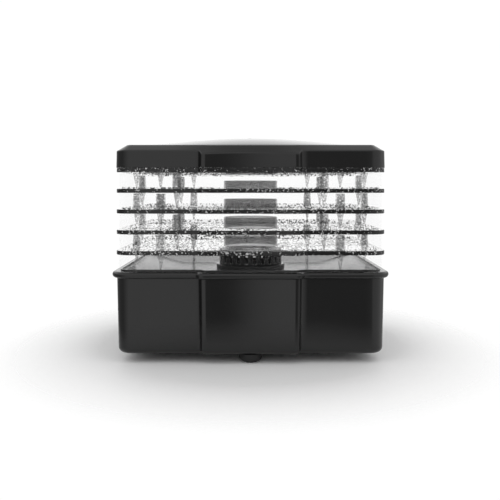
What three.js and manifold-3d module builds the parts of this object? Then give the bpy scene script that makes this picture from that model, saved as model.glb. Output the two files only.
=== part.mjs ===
// Stacking food dehydrator: a fan and heater base, five clear trays and a lid.
// Millimetres, +Z up. The origin is on the table, under the middle of the object.
// The long sides face -Y and +Y, the controls are on the +X side, the cord inlet on -X.
import * as THREE from 'three';
import { mergeVertices } from 'three/addons/utils/BufferGeometryUtils.js';
import Module from 'manifold-3d';

const wasm = await Module();
wasm.setup();

// ---------------------------------------------------------------- driving dimensions
const BODY_LENGTH = 323; // side to side
const BODY_DEPTH = 240; // flat panel to flat panel
const CORNER_RADIUS = 18;
const PANEL_WIDTH = 119; // raised centre panel of each long side
const PANEL_PROUD = 7; // how far its edges stand out
const PANEL_SCOOP = 2.5; // how far its middle is hollowed back
const STEP_RUN = 5; // length of the eased step at each panel edge

const FOOT_HEIGHT = 11;
const FOOT_RADIUS = 13.5;
const FOOT_SOLE_RADIUS = 6.5;
const FOOT_ROUNDING = 6; // height of the curve between its sole and its side
const FOOT_ALONG_DEPTH = 105; // the front and back feet, from the middle
const FOOT_ALONG_LENGTH = 130; // the left and right feet, from the middle
const TUB_WALL = 2.8;
const TUB_BOTTOM_RADIUS = 7;
const TUB_DRAFT = 1.9; // how far the tub draws in towards its bottom
const DECK_TOP = 109.2; // top of the base rim, where the lowest tray rests
const DECK_THICKNESS = 2.5;
const DECK_RECESS = 8.7; // depth of the dished deck under the rim
const BEAD_HEIGHT = 7.8;
const BEAD_PROUD = 6; // how far the rolled rim stands out from the tub
const DECK_RIM_WIDTH = 8.5;

const TRAY_COUNT = 5;
const TRAY_HEIGHT = 24.37;
const TRAY_RIM_HEIGHT = 4.9;
const TRAY_RIM_PROUD = 0.5;
const TRAY_WALL = 1.8;
const TRAY_WALL_INSET = 2; // the clear wall stands this far inside the tub's outline
const TRAY_FLOOR = 1.8;
const FLOOR_SLOT_PITCH = 40;
const FLOOR_SLOT_WIDTH = 32;
const FLOOR_MARGIN = 14;
const FLOOR_RIB = 8;
const COLLAR_RADIUS = 36.9; // ring round the air hole in each tray
const COLLAR_WALL = 2;
const COLLAR_RISE = 14.7; // above the middle of the tray rim
const LIP_HEIGHT = 2.2; // raised lip that keeps the next piece from sliding off
const LIP_WALL = 2;
const PEG_LENGTH = 20.5; // tapered peg under a tray
const PEG_RADIUS = 4.5;
const PEG_TIP_RADIUS = 1.2;
const SOCKET_WIDTH = 11.5; // open socket on top of a tray, above its peg
const SOCKET_DEPTH = 9;
const SOCKET_TAPER = 0.7; // how far each side leans in over its height
const SOCKET_WALL = 1.2;
const SOCKET_RISE = 18.8;
const PEG_FRONT_OFFSET = 107.6; // front pegs, from the middle
const PEG_BACK_OFFSET = 88; // back pegs, from the middle
const PEG_SIDE_OFFSET = 21.5; // side pegs, from the middle

const LID_WALL_HEIGHT = 20.7;
const LID_BEVEL_HEIGHT = 7.3;
const LID_BEVEL_WIDTH = 12;
const LID_WALL = 2.4;
const LID_PROUD = 1; // how far the lid stands out from the tub's outline
const LID_TOP = 3.4;
const WINDOW_MARGIN = 3; // flat band between the bevel and the window
const WINDOW_CROWN = 15.8;
const WINDOW_FALL_MARGIN = 5; // the crown's curve would meet the flat this far outside the window
const WINDOW_THICKNESS = 2;
const WINDOW_LEDGE = 4;
const WINDOW_SEAT = 2; // depth of the recess that holds the window's edge
const VENT_COUNT = 8;
const VENT_LENGTH = 20;
const VENT_WIDTH = 3;
const VENT_RING_RADIUS = 32;

const TOWER_RADIUS = 42.5; // slotted air outlet on the deck
const TOWER_TOP = 126;
const TOWER_WALL = 2;
const TOWER_FLANGE_RADIUS = 46.6;
const TOWER_FLANGE_TOP = 106.4;
const TOWER_SLOT_PAIRS = 8;
const TOWER_SLOT_WIDTH = 5;
const DECK_HOLE_RADIUS = 40;
const DUCT_RADIUS = 48;
const DUCT_WALL = 2;
const DUCT_BOTTOM = 52;

const BRACKET_THICKNESS = 2;
const BRACKET_WIDTH = 16;
const MOTOR_RADIUS = 24;
const MOTOR_HEIGHT = 24;
const SHAFT_RADIUS = 2;
const FAN_RADIUS = 42;
const FAN_HUB_RADIUS = 9;
const FAN_HEIGHT = 12;
const FAN_BOTTOM = 56;
const FAN_BLADES = 7;
const BLADE_THICKNESS = 1.6;
const BLADE_PITCH = THREE.MathUtils.degToRad(32);
const HEATER_WIDTH = 86;
const HEATER_HEIGHT = 18;
const HEATER_BOTTOM = 74;
const HEATER_PLATE = 1.6;
const COIL_RADIUS = 30;
const COIL_WIRE_RADIUS = 2.6;
const FUSE_RADIUS = 3;
const FUSE_LENGTH = 14;

const CONTROL_LENGTH = 92; // control panel, along Y
const CONTROL_HEIGHT = 42;
const CONTROL_MIDDLE = 58; // its middle above the table
const CONTROL_FLANGE = 1.5;
const CONTROL_BORDER = 4;
const CONTROL_RECESS = 9.5;
const CONTROL_WALL = 2;
const KNOB_RADIUS = 13.5;
const KNOB_LENGTH = 13;
const KNOB_CAP = 3; // thickness of its front
const KNOB_FLUTES = 12;
const KNOB_ALONG = -24; // places along the control panel
const SWITCH_ALONG = 12;
const LAMP_ALONG = 34;
const SWITCH_LENGTH = 20;
const SWITCH_HEIGHT = 12;
const SWITCH_FLANGE = 1.5;
const SWITCH_WALL = 1.2;
const SWITCH_BODY_DEPTH = 15;
const ROCKER_TILT = THREE.MathUtils.degToRad(6);
const LAMP_RADIUS = 3;
const THERMOSTAT_SIZE = 30;
const THERMOSTAT_DEPTH = 16;
const SPINDLE_RADIUS = 3;

const GLAND_RADIUS = 7;
const GLAND_COLLAR_RADIUS = 10;
const GLAND_BORE = 3.6;
const GLAND_HEIGHT = 38; // above the table
const GLAND_FLANGE = 2;
const SCREW_HEAD_RADIUS = 4;
const SCREW_HEAD_HEIGHT = 2.2;
const SCREW_RADIUS = 1.6;
const SCREW_LENGTH = 14;
const BOSS_RADIUS = 5;
const BOSS_FROM_SIDE = 26; // from the tub's side panels and long panels
const LEAD_RADIUS = 1.5;
const LEAD_CLEARANCE = 1.5; // above the tub's floor

const GAP = 0.3; // clearance between neighbouring pieces
const OVERCUT = 2; // how far a cutting tool runs past a face

// ---------------------------------------------------------------- heights worked out
const TUB_TOP = DECK_TOP - BEAD_HEIGHT - GAP;
const TUB_FLOOR_TOP = FOOT_HEIGHT + TUB_WALL;
const DECK_FLOOR_TOP = DECK_TOP - DECK_RECESS;
const DECK_FLOOR_BOTTOM = DECK_FLOOR_TOP - DECK_THICKNESS;
const TRAY_PITCH = TRAY_HEIGHT + GAP;
const STACK_TOP = DECK_TOP + TRAY_COUNT * TRAY_PITCH;
const LID_BOTTOM = STACK_TOP + GAP;
const LID_SHOULDER = LID_BOTTOM + LID_WALL_HEIGHT;
const LID_PLANE = LID_SHOULDER + LID_BEVEL_HEIGHT;
const BRACKET_TOP = DUCT_BOTTOM - GAP;
const MOTOR_TOP = BRACKET_TOP - BRACKET_THICKNESS - GAP;
const CONTROL_FLOOR_FACE = BODY_LENGTH / 2 - CONTROL_RECESS; // the recessed face, along X

// ---------------------------------------------------------------- small helpers
const FULL_TURN = 2 * Math.PI;
const CORNER_STEPS = 4;
const STEP_STEPS = 1;
const FACE_STEPS = 2;
const ROUND_SIDES = 24;
const TOWER_SIDES = 32;
const SMALL_SIDES = 12;
const TINY_SIDES = 8;

// The solid that a closed geometry encloses.
function solid(geometry) {
  const bare = geometry.index ? geometry.toNonIndexed() : geometry.clone();
  bare.deleteAttribute('normal');
  bare.deleteAttribute('uv');
  const merged = mergeVertices(bare, 1e-4);
  return new wasm.Manifold(new wasm.Mesh({
    numProp: 3,
    vertProperties: new Float32Array(merged.attributes.position.array),
    triVerts: new Uint32Array(merged.index.array),
  }));
}

// The geometry of a solid.
function surface(shape) {
  const mesh = shape.getMesh();
  const geometry = new THREE.BufferGeometry();
  geometry.setAttribute('position', new THREE.BufferAttribute(new Float32Array(mesh.vertProperties), 3));
  geometry.setIndex(new THREE.BufferAttribute(new Uint32Array(mesh.triVerts), 1));
  geometry.computeVertexNormals();
  return geometry;
}

function join(solids) {
  return solids.reduce((whole, next) => whole.add(next));
}

function cut(whole, tools) {
  return tools.reduce((rest, tool) => rest.subtract(tool), whole);
}

// A box between two corners.
function block(low, high) {
  const size = high.map((value, axis) => value - low[axis]);
  const geometry = new THREE.BoxGeometry(...size);
  geometry.translate(...low.map((value, axis) => value + size[axis] / 2));
  return solid(geometry);
}

// An upright round bar at (x, y), from one height to another; it may taper.
function bar(x, y, low, high, radius, sides = SMALL_SIDES, topRadius = radius) {
  const geometry = new THREE.CylinderGeometry(topRadius, radius, high - low, sides);
  geometry.rotateX(Math.PI / 2);
  geometry.translate(x, y, (low + high) / 2);
  return solid(geometry);
}

// A round bar along X, from one x to another.
function crossBar(low, high, y, z, radius, sides = SMALL_SIDES) {
  const geometry = new THREE.CylinderGeometry(radius, radius, high - low, sides);
  geometry.rotateZ(-Math.PI / 2);
  geometry.translate((low + high) / 2, y, z);
  return solid(geometry);
}

// A turned piece about Z through (0, 0); its profile is a list of [radius, height].
function turned(profile, sides = ROUND_SIDES) {
  const points = profile.map(([radius, height]) => new THREE.Vector2(radius, height));
  const geometry = new THREE.LatheGeometry(points, sides);
  geometry.rotateX(Math.PI / 2);
  return solid(geometry);
}

// A round wire along a curve.
function wire(curve, radius, steps, sides = TINY_SIDES) {
  const section = new THREE.Shape();
  for (let i = 0; i < sides; i++) {
    const angle = (i / sides) * FULL_TURN;
    const point = [radius * Math.cos(angle), radius * Math.sin(angle)];
    if (i === 0) section.moveTo(...point);
    else section.lineTo(...point);
  }
  return solid(new THREE.ExtrudeGeometry(section, { steps, extrudePath: curve, bevelEnabled: false }));
}

// Copies of one solid at equal turns about Z.
function ringOf(count, piece, offset = 0) {
  const copies = [];
  for (let i = 0; i < count; i++) copies.push(piece.rotate([0, 0, ((i + offset) * 360) / count]));
  return copies;
}

// ---------------------------------------------------------------- the body's outline
// Counter-clockwise outline of the body, drawn in by an inset: a rounded rectangle
// whose long sides carry a raised, slightly hollowed centre panel with eased steps.
// The panels stand out by a share of their full height, and z holds how far each point does.
function outline(inset, share = 1) {
  const proud = PANEL_PROUD * share;
  const hollow = PANEL_SCOOP * share;
  const halfX = BODY_LENGTH / 2 - inset;
  const halfY = BODY_DEPTH / 2 - inset;
  const radius = Math.max(CORNER_RADIUS - inset, TUB_WALL);
  const halfPanel = PANEL_WIDTH / 2 - inset / 2;
  const quarter = [];
  for (let i = 0; i <= CORNER_STEPS; i++) {
    const angle = ((i / CORNER_STEPS) * Math.PI) / 2;
    const x = halfX - radius + radius * Math.cos(angle);
    const y = halfY - radius + radius * Math.sin(angle);
    quarter.push(new THREE.Vector3(x, y, 0));
  }
  for (let i = 0; i <= STEP_STEPS; i++) {
    const t = i / STEP_STEPS;
    const rise = t * t * (3 - 2 * t);
    quarter.push(new THREE.Vector3(halfPanel + STEP_RUN * (0.5 - t), halfY + proud * rise, proud * rise));
  }
  for (let i = 1; i < FACE_STEPS; i++) {
    const fromMiddle = 1 - i / FACE_STEPS;
    const out = proud - hollow * (1 - fromMiddle * fromMiddle);
    quarter.push(new THREE.Vector3((halfPanel - STEP_RUN / 2) * fromMiddle, halfY + out, out));
  }
  const middle = new THREE.Vector3(0, halfY + proud - hollow, proud - hollow);
  const mirrored = quarter.map((p) => new THREE.Vector3(-p.x, p.y, p.z)).reverse();
  const backHalf = [...quarter, middle, ...mirrored];
  const frontHalf = backHalf.map((p) => new THREE.Vector3(-p.x, -p.y, p.z));
  return [...backHalf, ...frontHalf];
}

// The outline at one level. Its height falls by dip for each millimetre that a panel stands out.
function level(height, inset, share = 1, dip = 0) {
  return outline(inset, share).map((p) => new THREE.Vector3(p.x, p.y, height - dip * p.z));
}

// A closed skin through a stack of rings of points, listed from the top down: the rings
// of a plain cylinder are moved onto them. Its flat ends close at the rings' mean heights.
function stackedRings(rings) {
  const count = rings[0].length;
  const geometry = new THREE.CylinderGeometry(1, 1, 1, count, rings.length - 1);
  const position = geometry.attributes.position;
  for (let i = 0; i < position.count; i++) {
    const row = Math.round((0.5 - position.getY(i)) * (rings.length - 1));
    const turn = Math.atan2(position.getX(i), position.getZ(i)) / FULL_TURN;
    const column = (Math.round(turn * count) + count) % count;
    const onAxis = Math.hypot(position.getX(i), position.getZ(i)) < 0.5;
    const ring = rings[row];
    const middleHeight = ring.reduce((sum, p) => sum + p.z, 0) / count;
    const point = onAxis ? new THREE.Vector3(0, 0, middleHeight) : ring[column];
    position.setXYZ(i, point.x, point.y, point.z);
  }
  return solid(geometry);
}

// The same through levels given as [height, inset, share, dip].
function stacked(levels) {
  return stackedRings(levels.map((values) => level(...values)));
}

// A flat plate of the outline's shape between two heights.
function layer(low, high, inset) {
  return stacked([[high, inset], [low, inset]]);
}

// An upright band between two insets and two heights.
function band(low, high, outerInset, innerInset) {
  return layer(low, high, outerInset).subtract(layer(low - OVERCUT, high + OVERCUT, innerInset));
}

// Levels of a quarter-round edge below a flat face, from the top down.
function roundedFoot(bottom, radius, inset, steps = 3) {
  const levels = [];
  for (let i = 0; i <= steps; i++) {
    const angle = ((i / steps) * Math.PI) / 2;
    levels.push([bottom + radius * (1 - Math.sin(angle)), inset + radius * (1 - Math.cos(angle))]);
  }
  return levels;
}

// ---------------------------------------------------------------- materials
function plastic(color, roughness, opacity = 1) {
  const transparent = opacity < 1;
  return new THREE.MeshStandardMaterial({ color, roughness, metalness: 0, opacity, transparent });
}

function metal(color, roughness) {
  return new THREE.MeshStandardMaterial({ color, roughness, metalness: 0.9 });
}

const satinBlack = () => plastic(0x1b1b1c, 0.42);
const glossBlack = () => plastic(0x141415, 0.18);
const rubberBlack = () => plastic(0x161616, 0.8);
const clearPlastic = () => plastic(0xe6eaea, 0.08, 0.35);
const smokedPlastic = () => plastic(0x3a3d3d, 0.08, 0.7);
const whitePlastic = () => plastic(0xe4e2da, 0.5);
const micaBoard = () => plastic(0xb9a77f, 0.7);
const redLens = () => plastic(0xb3201a, 0.2);
const steel = () => metal(0xa8abad, 0.35);
const heaterWire = () => metal(0x7d6f63, 0.5);
const motorSteel = () => metal(0x85888a, 0.5);

const dehydrator = new THREE.Group();

function place(name, shape, material, position = [0, 0, 0], turn = 0) {
  const mesh = new THREE.Mesh(surface(shape), material);
  mesh.name = name;
  mesh.position.set(...position);
  mesh.rotation.z = turn;
  dehydrator.add(mesh);
}

// ---------------------------------------------------------------- base: tub, deck, feet
const BOSS_X = BODY_LENGTH / 2 - BOSS_FROM_SIDE;
const BOSS_Y = BODY_DEPTH / 2 - BOSS_FROM_SIDE;
const BOSS_PLACES = [[BOSS_X, BOSS_Y], [-BOSS_X, BOSS_Y], [-BOSS_X, -BOSS_Y], [BOSS_X, -BOSS_Y]];
const FOOT_PLACES = {
  front: [0, -FOOT_ALONG_DEPTH],
  back: [0, FOOT_ALONG_DEPTH],
  left: [-FOOT_ALONG_LENGTH, 0],
  right: [FOOT_ALONG_LENGTH, 0],
};
const FOOT_STEM_RADIUS = 3;
const FOOT_BARB_RADIUS = 3.9;
const FOOT_BARB_HEIGHT = 2.5;
const INTAKE_SLOTS = 12;
const INTAKE_SLOT_LENGTH = 26;
const INTAKE_SLOT_WIDTH = 5;
const INTAKE_RING_RADIUS = 32;

function controlCutout() {
  const halfLength = CONTROL_LENGTH / 2 - CONTROL_BORDER;
  const halfHeight = CONTROL_HEIGHT / 2 - CONTROL_BORDER;
  const face = BODY_LENGTH / 2;
  return block(
    [face - TUB_WALL - 2 * OVERCUT, -halfLength, CONTROL_MIDDLE - halfHeight],
    [face + OVERCUT, halfLength, CONTROL_MIDDLE + halfHeight],
  );
}

// The tub's outer shape, swollen by a clearance.
function tubOutside(clearance = 0) {
  return stacked([
    [TUB_TOP + clearance, -clearance],
    ...roundedFoot(FOOT_HEIGHT - clearance, TUB_BOTTOM_RADIUS, TUB_DRAFT - clearance),
  ]);
}

// How far the tub's side is drawn in at a height.
function draftAt(height) {
  const bottom = FOOT_HEIGHT + TUB_BOTTOM_RADIUS;
  return (TUB_DRAFT * (TUB_TOP - height)) / (TUB_TOP - bottom);
}

function tub() {
  const outside = tubOutside();
  const innerRadius = TUB_BOTTOM_RADIUS - TUB_WALL;
  const inside = stacked([
    [TUB_TOP + OVERCUT, TUB_WALL],
    ...roundedFoot(TUB_FLOOR_TOP, innerRadius, TUB_DRAFT + TUB_WALL),
  ]);
  const slot = block(
    [INTAKE_RING_RADIUS - INTAKE_SLOT_LENGTH / 2, -INTAKE_SLOT_WIDTH / 2, FOOT_HEIGHT - OVERCUT],
    [INTAKE_RING_RADIUS + INTAKE_SLOT_LENGTH / 2, INTAKE_SLOT_WIDTH / 2, TUB_FLOOR_TOP + OVERCUT],
  );
  const holeLow = FOOT_HEIGHT - OVERCUT;
  const holeHigh = TUB_FLOOR_TOP + OVERCUT;
  const screwHoles = BOSS_PLACES.map(
    ([x, y]) => bar(x, y, holeLow, holeHigh, SCREW_RADIUS + GAP, TINY_SIDES),
  );
  const footHoles = Object.values(FOOT_PLACES).map(
    ([x, y]) => bar(x, y, holeLow, holeHigh, FOOT_STEM_RADIUS + GAP, TINY_SIDES),
  );
  const glandFace = -BODY_LENGTH / 2;
  const glandHoleEnd = glandFace + TUB_WALL + 2 * OVERCUT;
  const glandHole = crossBar(glandFace - OVERCUT, glandHoleEnd, 0, GLAND_HEIGHT, GLAND_RADIUS + GAP);
  return cut(outside, [
    inside, ...ringOf(INTAKE_SLOTS, slot), ...screwHoles, ...footHoles, glandHole, controlCutout(),
  ]);
}

// The deck closes the tub: a dished floor, a rolled rim outside and a low lip for the trays.
function deck() {
  const beadRadius = BEAD_HEIGHT / 2;
  const beadLevels = [];
  const beadSteps = 3;
  for (let i = 0; i <= beadSteps; i++) {
    const angle = (0.5 - i / beadSteps) * Math.PI;
    const height = DECK_TOP - beadRadius + beadRadius * Math.sin(angle);
    beadLevels.push([height, beadRadius - BEAD_PROUD - beadRadius * Math.cos(angle)]);
  }
  const bead = stacked(beadLevels);
  const plug = layer(DECK_FLOOR_BOTTOM, DECK_TOP - beadRadius, TUB_WALL + GAP);
  const lipOuter = TRAY_WALL_INSET + TRAY_WALL + 2 * GAP;
  const lip = band(DECK_TOP - beadRadius, DECK_TOP + LIP_HEIGHT, lipOuter, lipOuter + LIP_WALL);
  const dish = stacked([
    [DECK_TOP, DECK_RIM_WIDTH],
    [DECK_FLOOR_TOP + DECK_RECESS / 2, DECK_RIM_WIDTH + 1],
    [DECK_FLOOR_TOP, DECK_RIM_WIDTH + DECK_RECESS / 2],
  ]);
  const dishMouth = layer(DECK_TOP - 1, DECK_TOP + LIP_HEIGHT + OVERCUT, DECK_RIM_WIDTH);
  const hole = bar(0, 0, DECK_FLOOR_BOTTOM - OVERCUT, DECK_TOP, DECK_HOLE_RADIUS, TOWER_SIDES);
  const bosses = BOSS_PLACES.map(
    ([x, y]) => bar(x, y, TUB_FLOOR_TOP + GAP, DECK_FLOOR_BOTTOM + 1, BOSS_RADIUS),
  );
  const boreTop = FOOT_HEIGHT + SCREW_LENGTH + OVERCUT;
  const bores = BOSS_PLACES.map(
    ([x, y]) => bar(x, y, TUB_FLOOR_TOP - OVERCUT, boreTop, SCREW_RADIUS + GAP, TINY_SIDES),
  );
  return cut(join([bead, plug, lip, ...bosses]), [dish, dishMouth, hole, ...bores]);
}

// Soft foot: a bowl-shaped pad with a flat sole and a barbed stem through the tub's floor.
function foot() {
  const top = FOOT_HEIGHT - GAP;
  const stemTop = TUB_FLOOR_TOP + GAP;
  const bowl = [];
  const bowlSteps = 3;
  for (let i = 0; i <= bowlSteps; i++) {
    const angle = ((i / bowlSteps) * Math.PI) / 2;
    const radius = FOOT_SOLE_RADIUS + (FOOT_RADIUS - FOOT_SOLE_RADIUS) * Math.sin(angle);
    bowl.push([radius, FOOT_ROUNDING * (1 - Math.cos(angle))]);
  }
  return turned([
    [0, 0],
    ...bowl,
    [FOOT_RADIUS, top],
    [FOOT_STEM_RADIUS, top],
    [FOOT_STEM_RADIUS, stemTop],
    [FOOT_BARB_RADIUS, stemTop],
    [FOOT_STEM_RADIUS - 1, stemTop + FOOT_BARB_HEIGHT],
    [0, stemTop + FOOT_BARB_HEIGHT],
  ], SMALL_SIDES);
}

// Screw with its head at the bottom, its shank pointing up from z = 0.
function screw(length) {
  return turned([
    [0, -SCREW_HEAD_HEIGHT],
    [SCREW_HEAD_RADIUS - 1, -SCREW_HEAD_HEIGHT],
    [SCREW_HEAD_RADIUS, -SCREW_HEAD_HEIGHT / 2],
    [SCREW_HEAD_RADIUS, 0],
    [SCREW_RADIUS, 0],
    [SCREW_RADIUS, length - 2],
    [0, length],
  ], TINY_SIDES);
}

// ---------------------------------------------------------------- air path: tower, duct, fan, heater
function tower() {
  const shell = turned([
    [DECK_HOLE_RADIUS - GAP - TOWER_WALL, DECK_FLOOR_BOTTOM],
    [DECK_HOLE_RADIUS - GAP, DECK_FLOOR_BOTTOM],
    [DECK_HOLE_RADIUS - GAP, DECK_FLOOR_TOP + GAP],
    [TOWER_FLANGE_RADIUS, DECK_FLOOR_TOP + GAP],
    [TOWER_FLANGE_RADIUS, TOWER_FLANGE_TOP],
    [TOWER_RADIUS, TOWER_FLANGE_TOP],
    [TOWER_RADIUS, TOWER_TOP],
    [0, TOWER_TOP],
    [0, TOWER_TOP - TOWER_WALL],
    [TOWER_RADIUS - TOWER_WALL, TOWER_TOP - TOWER_WALL],
    [TOWER_RADIUS - TOWER_WALL, TOWER_FLANGE_TOP],
    [DECK_HOLE_RADIUS - GAP - TOWER_WALL, DECK_FLOOR_TOP + GAP],
    [DECK_HOLE_RADIUS - GAP - TOWER_WALL, DECK_FLOOR_BOTTOM],
  ], TOWER_SIDES);
  const slotMargin = 3.5;
  const sideSlot = block(
    [TOWER_RADIUS / 2, -TOWER_SLOT_WIDTH / 2, TOWER_FLANGE_TOP + slotMargin],
    [TOWER_RADIUS + OVERCUT, TOWER_SLOT_WIDTH / 2, TOWER_TOP - TOWER_WALL - slotMargin],
  );
  const topSlot = block(
    [TOWER_RADIUS * 0.35, -TOWER_SLOT_WIDTH / 2, TOWER_TOP - TOWER_WALL - OVERCUT],
    [TOWER_RADIUS * 0.8, TOWER_SLOT_WIDTH / 2, TOWER_TOP + OVERCUT],
  );
  return cut(shell, [...ringOf(2 * TOWER_SLOT_PAIRS, sideSlot, 0.5), ...ringOf(TOWER_SLOT_PAIRS, topSlot)]);
}

const LUG_RADIUS = 5.5;
const LUG_PLACE = DUCT_RADIUS + LUG_RADIUS - 1.5;
const LUG_HEIGHT = 12;
const MOTOR_SCREW_LENGTH = 9;

function duct() {
  const top = DECK_FLOOR_BOTTOM - GAP;
  const tube = turned([
    [DUCT_RADIUS - DUCT_WALL, DUCT_BOTTOM],
    [DUCT_RADIUS, DUCT_BOTTOM],
    [DUCT_RADIUS, top],
    [DUCT_RADIUS - DUCT_WALL, top],
    [DUCT_RADIUS - DUCT_WALL, DUCT_BOTTOM],
  ]);
  const lugTop = DUCT_BOTTOM + LUG_HEIGHT;
  const lugs = [-LUG_PLACE, LUG_PLACE].map((x) => bar(x, 0, DUCT_BOTTOM, lugTop, LUG_RADIUS));
  const bores = [-LUG_PLACE, LUG_PLACE].map(
    (x) => bar(x, 0, DUCT_BOTTOM - OVERCUT, lugTop - OVERCUT, SCREW_RADIUS + GAP, TINY_SIDES),
  );
  return cut(join([tube, ...lugs]), bores);
}

function motorBracket() {
  const halfLength = LUG_PLACE + LUG_RADIUS;
  const halfWidth = BRACKET_WIDTH / 2;
  const bottom = BRACKET_TOP - BRACKET_THICKNESS;
  const strap = block([-halfLength, -halfWidth, bottom], [halfLength, halfWidth, BRACKET_TOP]);
  const shaftHole = bar(0, 0, bottom - OVERCUT, BRACKET_TOP + OVERCUT, 2 * SHAFT_RADIUS);
  const screwHoles = [-LUG_PLACE, LUG_PLACE].map(
    (x) => bar(x, 0, bottom - OVERCUT, BRACKET_TOP + OVERCUT, SCREW_RADIUS + GAP, TINY_SIDES),
  );
  return cut(strap, [shaftHole, ...screwHoles]);
}

// Motor: a round can with a square stack of laminations round its middle.
function motor() {
  const bottom = MOTOR_TOP - MOTOR_HEIGHT;
  const stackHalf = MOTOR_RADIUS * 0.92;
  const stackLow = bottom + MOTOR_HEIGHT * 0.3;
  const stackHigh = bottom + MOTOR_HEIGHT * 0.7;
  const can = bar(0, 0, bottom, MOTOR_TOP, MOTOR_RADIUS, ROUND_SIDES);
  const stack = block([-stackHalf, -stackHalf, stackLow], [stackHalf, stackHalf, stackHigh]);
  const bore = bar(0, 0, MOTOR_TOP - MOTOR_HEIGHT / 2, MOTOR_TOP + OVERCUT, SHAFT_RADIUS + GAP);
  return join([can, stack]).subtract(bore);
}

function motorShaft() {
  return bar(0, 0, MOTOR_TOP - MOTOR_HEIGHT / 2 + GAP, FAN_BOTTOM + FAN_HEIGHT - OVERCUT, SHAFT_RADIUS);
}

// Axial fan: a hub and pitched blades, with a blind bore for the shaft.
function fan() {
  const top = FAN_BOTTOM + FAN_HEIGHT;
  const hub = bar(0, 0, FAN_BOTTOM, top, FAN_HUB_RADIUS, SMALL_SIDES, FAN_HUB_RADIUS - 1);
  const bladeLength = FAN_RADIUS - FAN_HUB_RADIUS + OVERCUT;
  const bladeWidth = FAN_HEIGHT / Math.sin(BLADE_PITCH) - 2 * OVERCUT;
  const geometry = new THREE.BoxGeometry(bladeLength, bladeWidth, BLADE_THICKNESS);
  geometry.rotateX(BLADE_PITCH);
  geometry.translate(FAN_RADIUS - bladeLength / 2, 0, FAN_BOTTOM + FAN_HEIGHT / 2);
  const blades = ringOf(FAN_BLADES, solid(geometry));
  const bore = bar(0, 0, FAN_BOTTOM - OVERCUT, top - OVERCUT + GAP, SHAFT_RADIUS + GAP);
  return join([hub, ...blades]).subtract(bore);
}

// The heating wire is an open ring that runs through both insulating plates.
const COIL_STEPS = 20;
const COIL_START = 50; // degrees round from +X, between two plates
const COIL_SWEEP = 350;

class CoilRing extends THREE.Curve {
  getPoint(t, target = new THREE.Vector3()) {
    const angle = THREE.MathUtils.degToRad(COIL_START + COIL_SWEEP * t);
    const middle = HEATER_BOTTOM + HEATER_HEIGHT / 2;
    return target.set(COIL_RADIUS * Math.cos(angle), COIL_RADIUS * Math.sin(angle), middle);
  }
}

function heaterCoil() {
  return wire(new CoilRing(), COIL_WIRE_RADIUS, COIL_STEPS, 6);
}

function heaterFrame() {
  const half = HEATER_WIDTH / 2;
  const top = HEATER_BOTTOM + HEATER_HEIGHT;
  const along = block([-half, -HEATER_PLATE / 2, HEATER_BOTTOM], [half, HEATER_PLATE / 2, top]);
  const across = block([-HEATER_PLATE / 2, -half, HEATER_BOTTOM], [HEATER_PLATE / 2, half, top]);
  const clearance = wire(new CoilRing(), COIL_WIRE_RADIUS + 2 * GAP, COIL_STEPS, 6);
  return join([along, across]).subtract(clearance);
}

function thermalFuse() {
  const top = HEATER_BOTTOM + HEATER_HEIGHT;
  return crossBar(FUSE_LENGTH / 2, FUSE_LENGTH * 1.5, 0, top + GAP + FUSE_RADIUS, FUSE_RADIUS, TINY_SIDES);
}

// ---------------------------------------------------------------- controls on the +X side
function controlBezel() {
  const halfLength = CONTROL_LENGTH / 2;
  const halfHeight = CONTROL_HEIGHT / 2;
  const face = BODY_LENGTH / 2;
  const back = CONTROL_FLOOR_FACE - CONTROL_WALL;
  const shrink = CONTROL_BORDER + GAP;
  const flange = block(
    [face - TUB_WALL, -halfLength, CONTROL_MIDDLE - halfHeight],
    [face + CONTROL_FLANGE, halfLength, CONTROL_MIDDLE + halfHeight],
  ).subtract(tubOutside(GAP));
  const body = block(
    [back, -halfLength + shrink, CONTROL_MIDDLE - halfHeight + shrink],
    [face + CONTROL_FLANGE / 2, halfLength - shrink, CONTROL_MIDDLE + halfHeight - shrink],
  );
  const inner = shrink + CONTROL_WALL;
  const pocket = block(
    [CONTROL_FLOOR_FACE, -halfLength + inner, CONTROL_MIDDLE - halfHeight + inner],
    [face + CONTROL_FLANGE + OVERCUT, halfLength - inner, CONTROL_MIDDLE + halfHeight - inner],
  );
  const holeFrom = back - OVERCUT;
  const holeTo = CONTROL_FLOOR_FACE + OVERCUT;
  const spindleHole = crossBar(holeFrom, holeTo, KNOB_ALONG, CONTROL_MIDDLE, SPINDLE_RADIUS + 2 * GAP);
  const lampHole = crossBar(holeFrom, holeTo, LAMP_ALONG, CONTROL_MIDDLE, LAMP_RADIUS + GAP);
  const switchHole = block(
    [holeFrom, SWITCH_ALONG - SWITCH_LENGTH / 2 - GAP, CONTROL_MIDDLE - SWITCH_HEIGHT / 2 - GAP],
    [holeTo, SWITCH_ALONG + SWITCH_LENGTH / 2 + GAP, CONTROL_MIDDLE + SWITCH_HEIGHT / 2 + GAP],
  );
  return cut(join([flange, body]), [pocket, spindleHole, lampHole, switchHole]);
}

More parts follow.
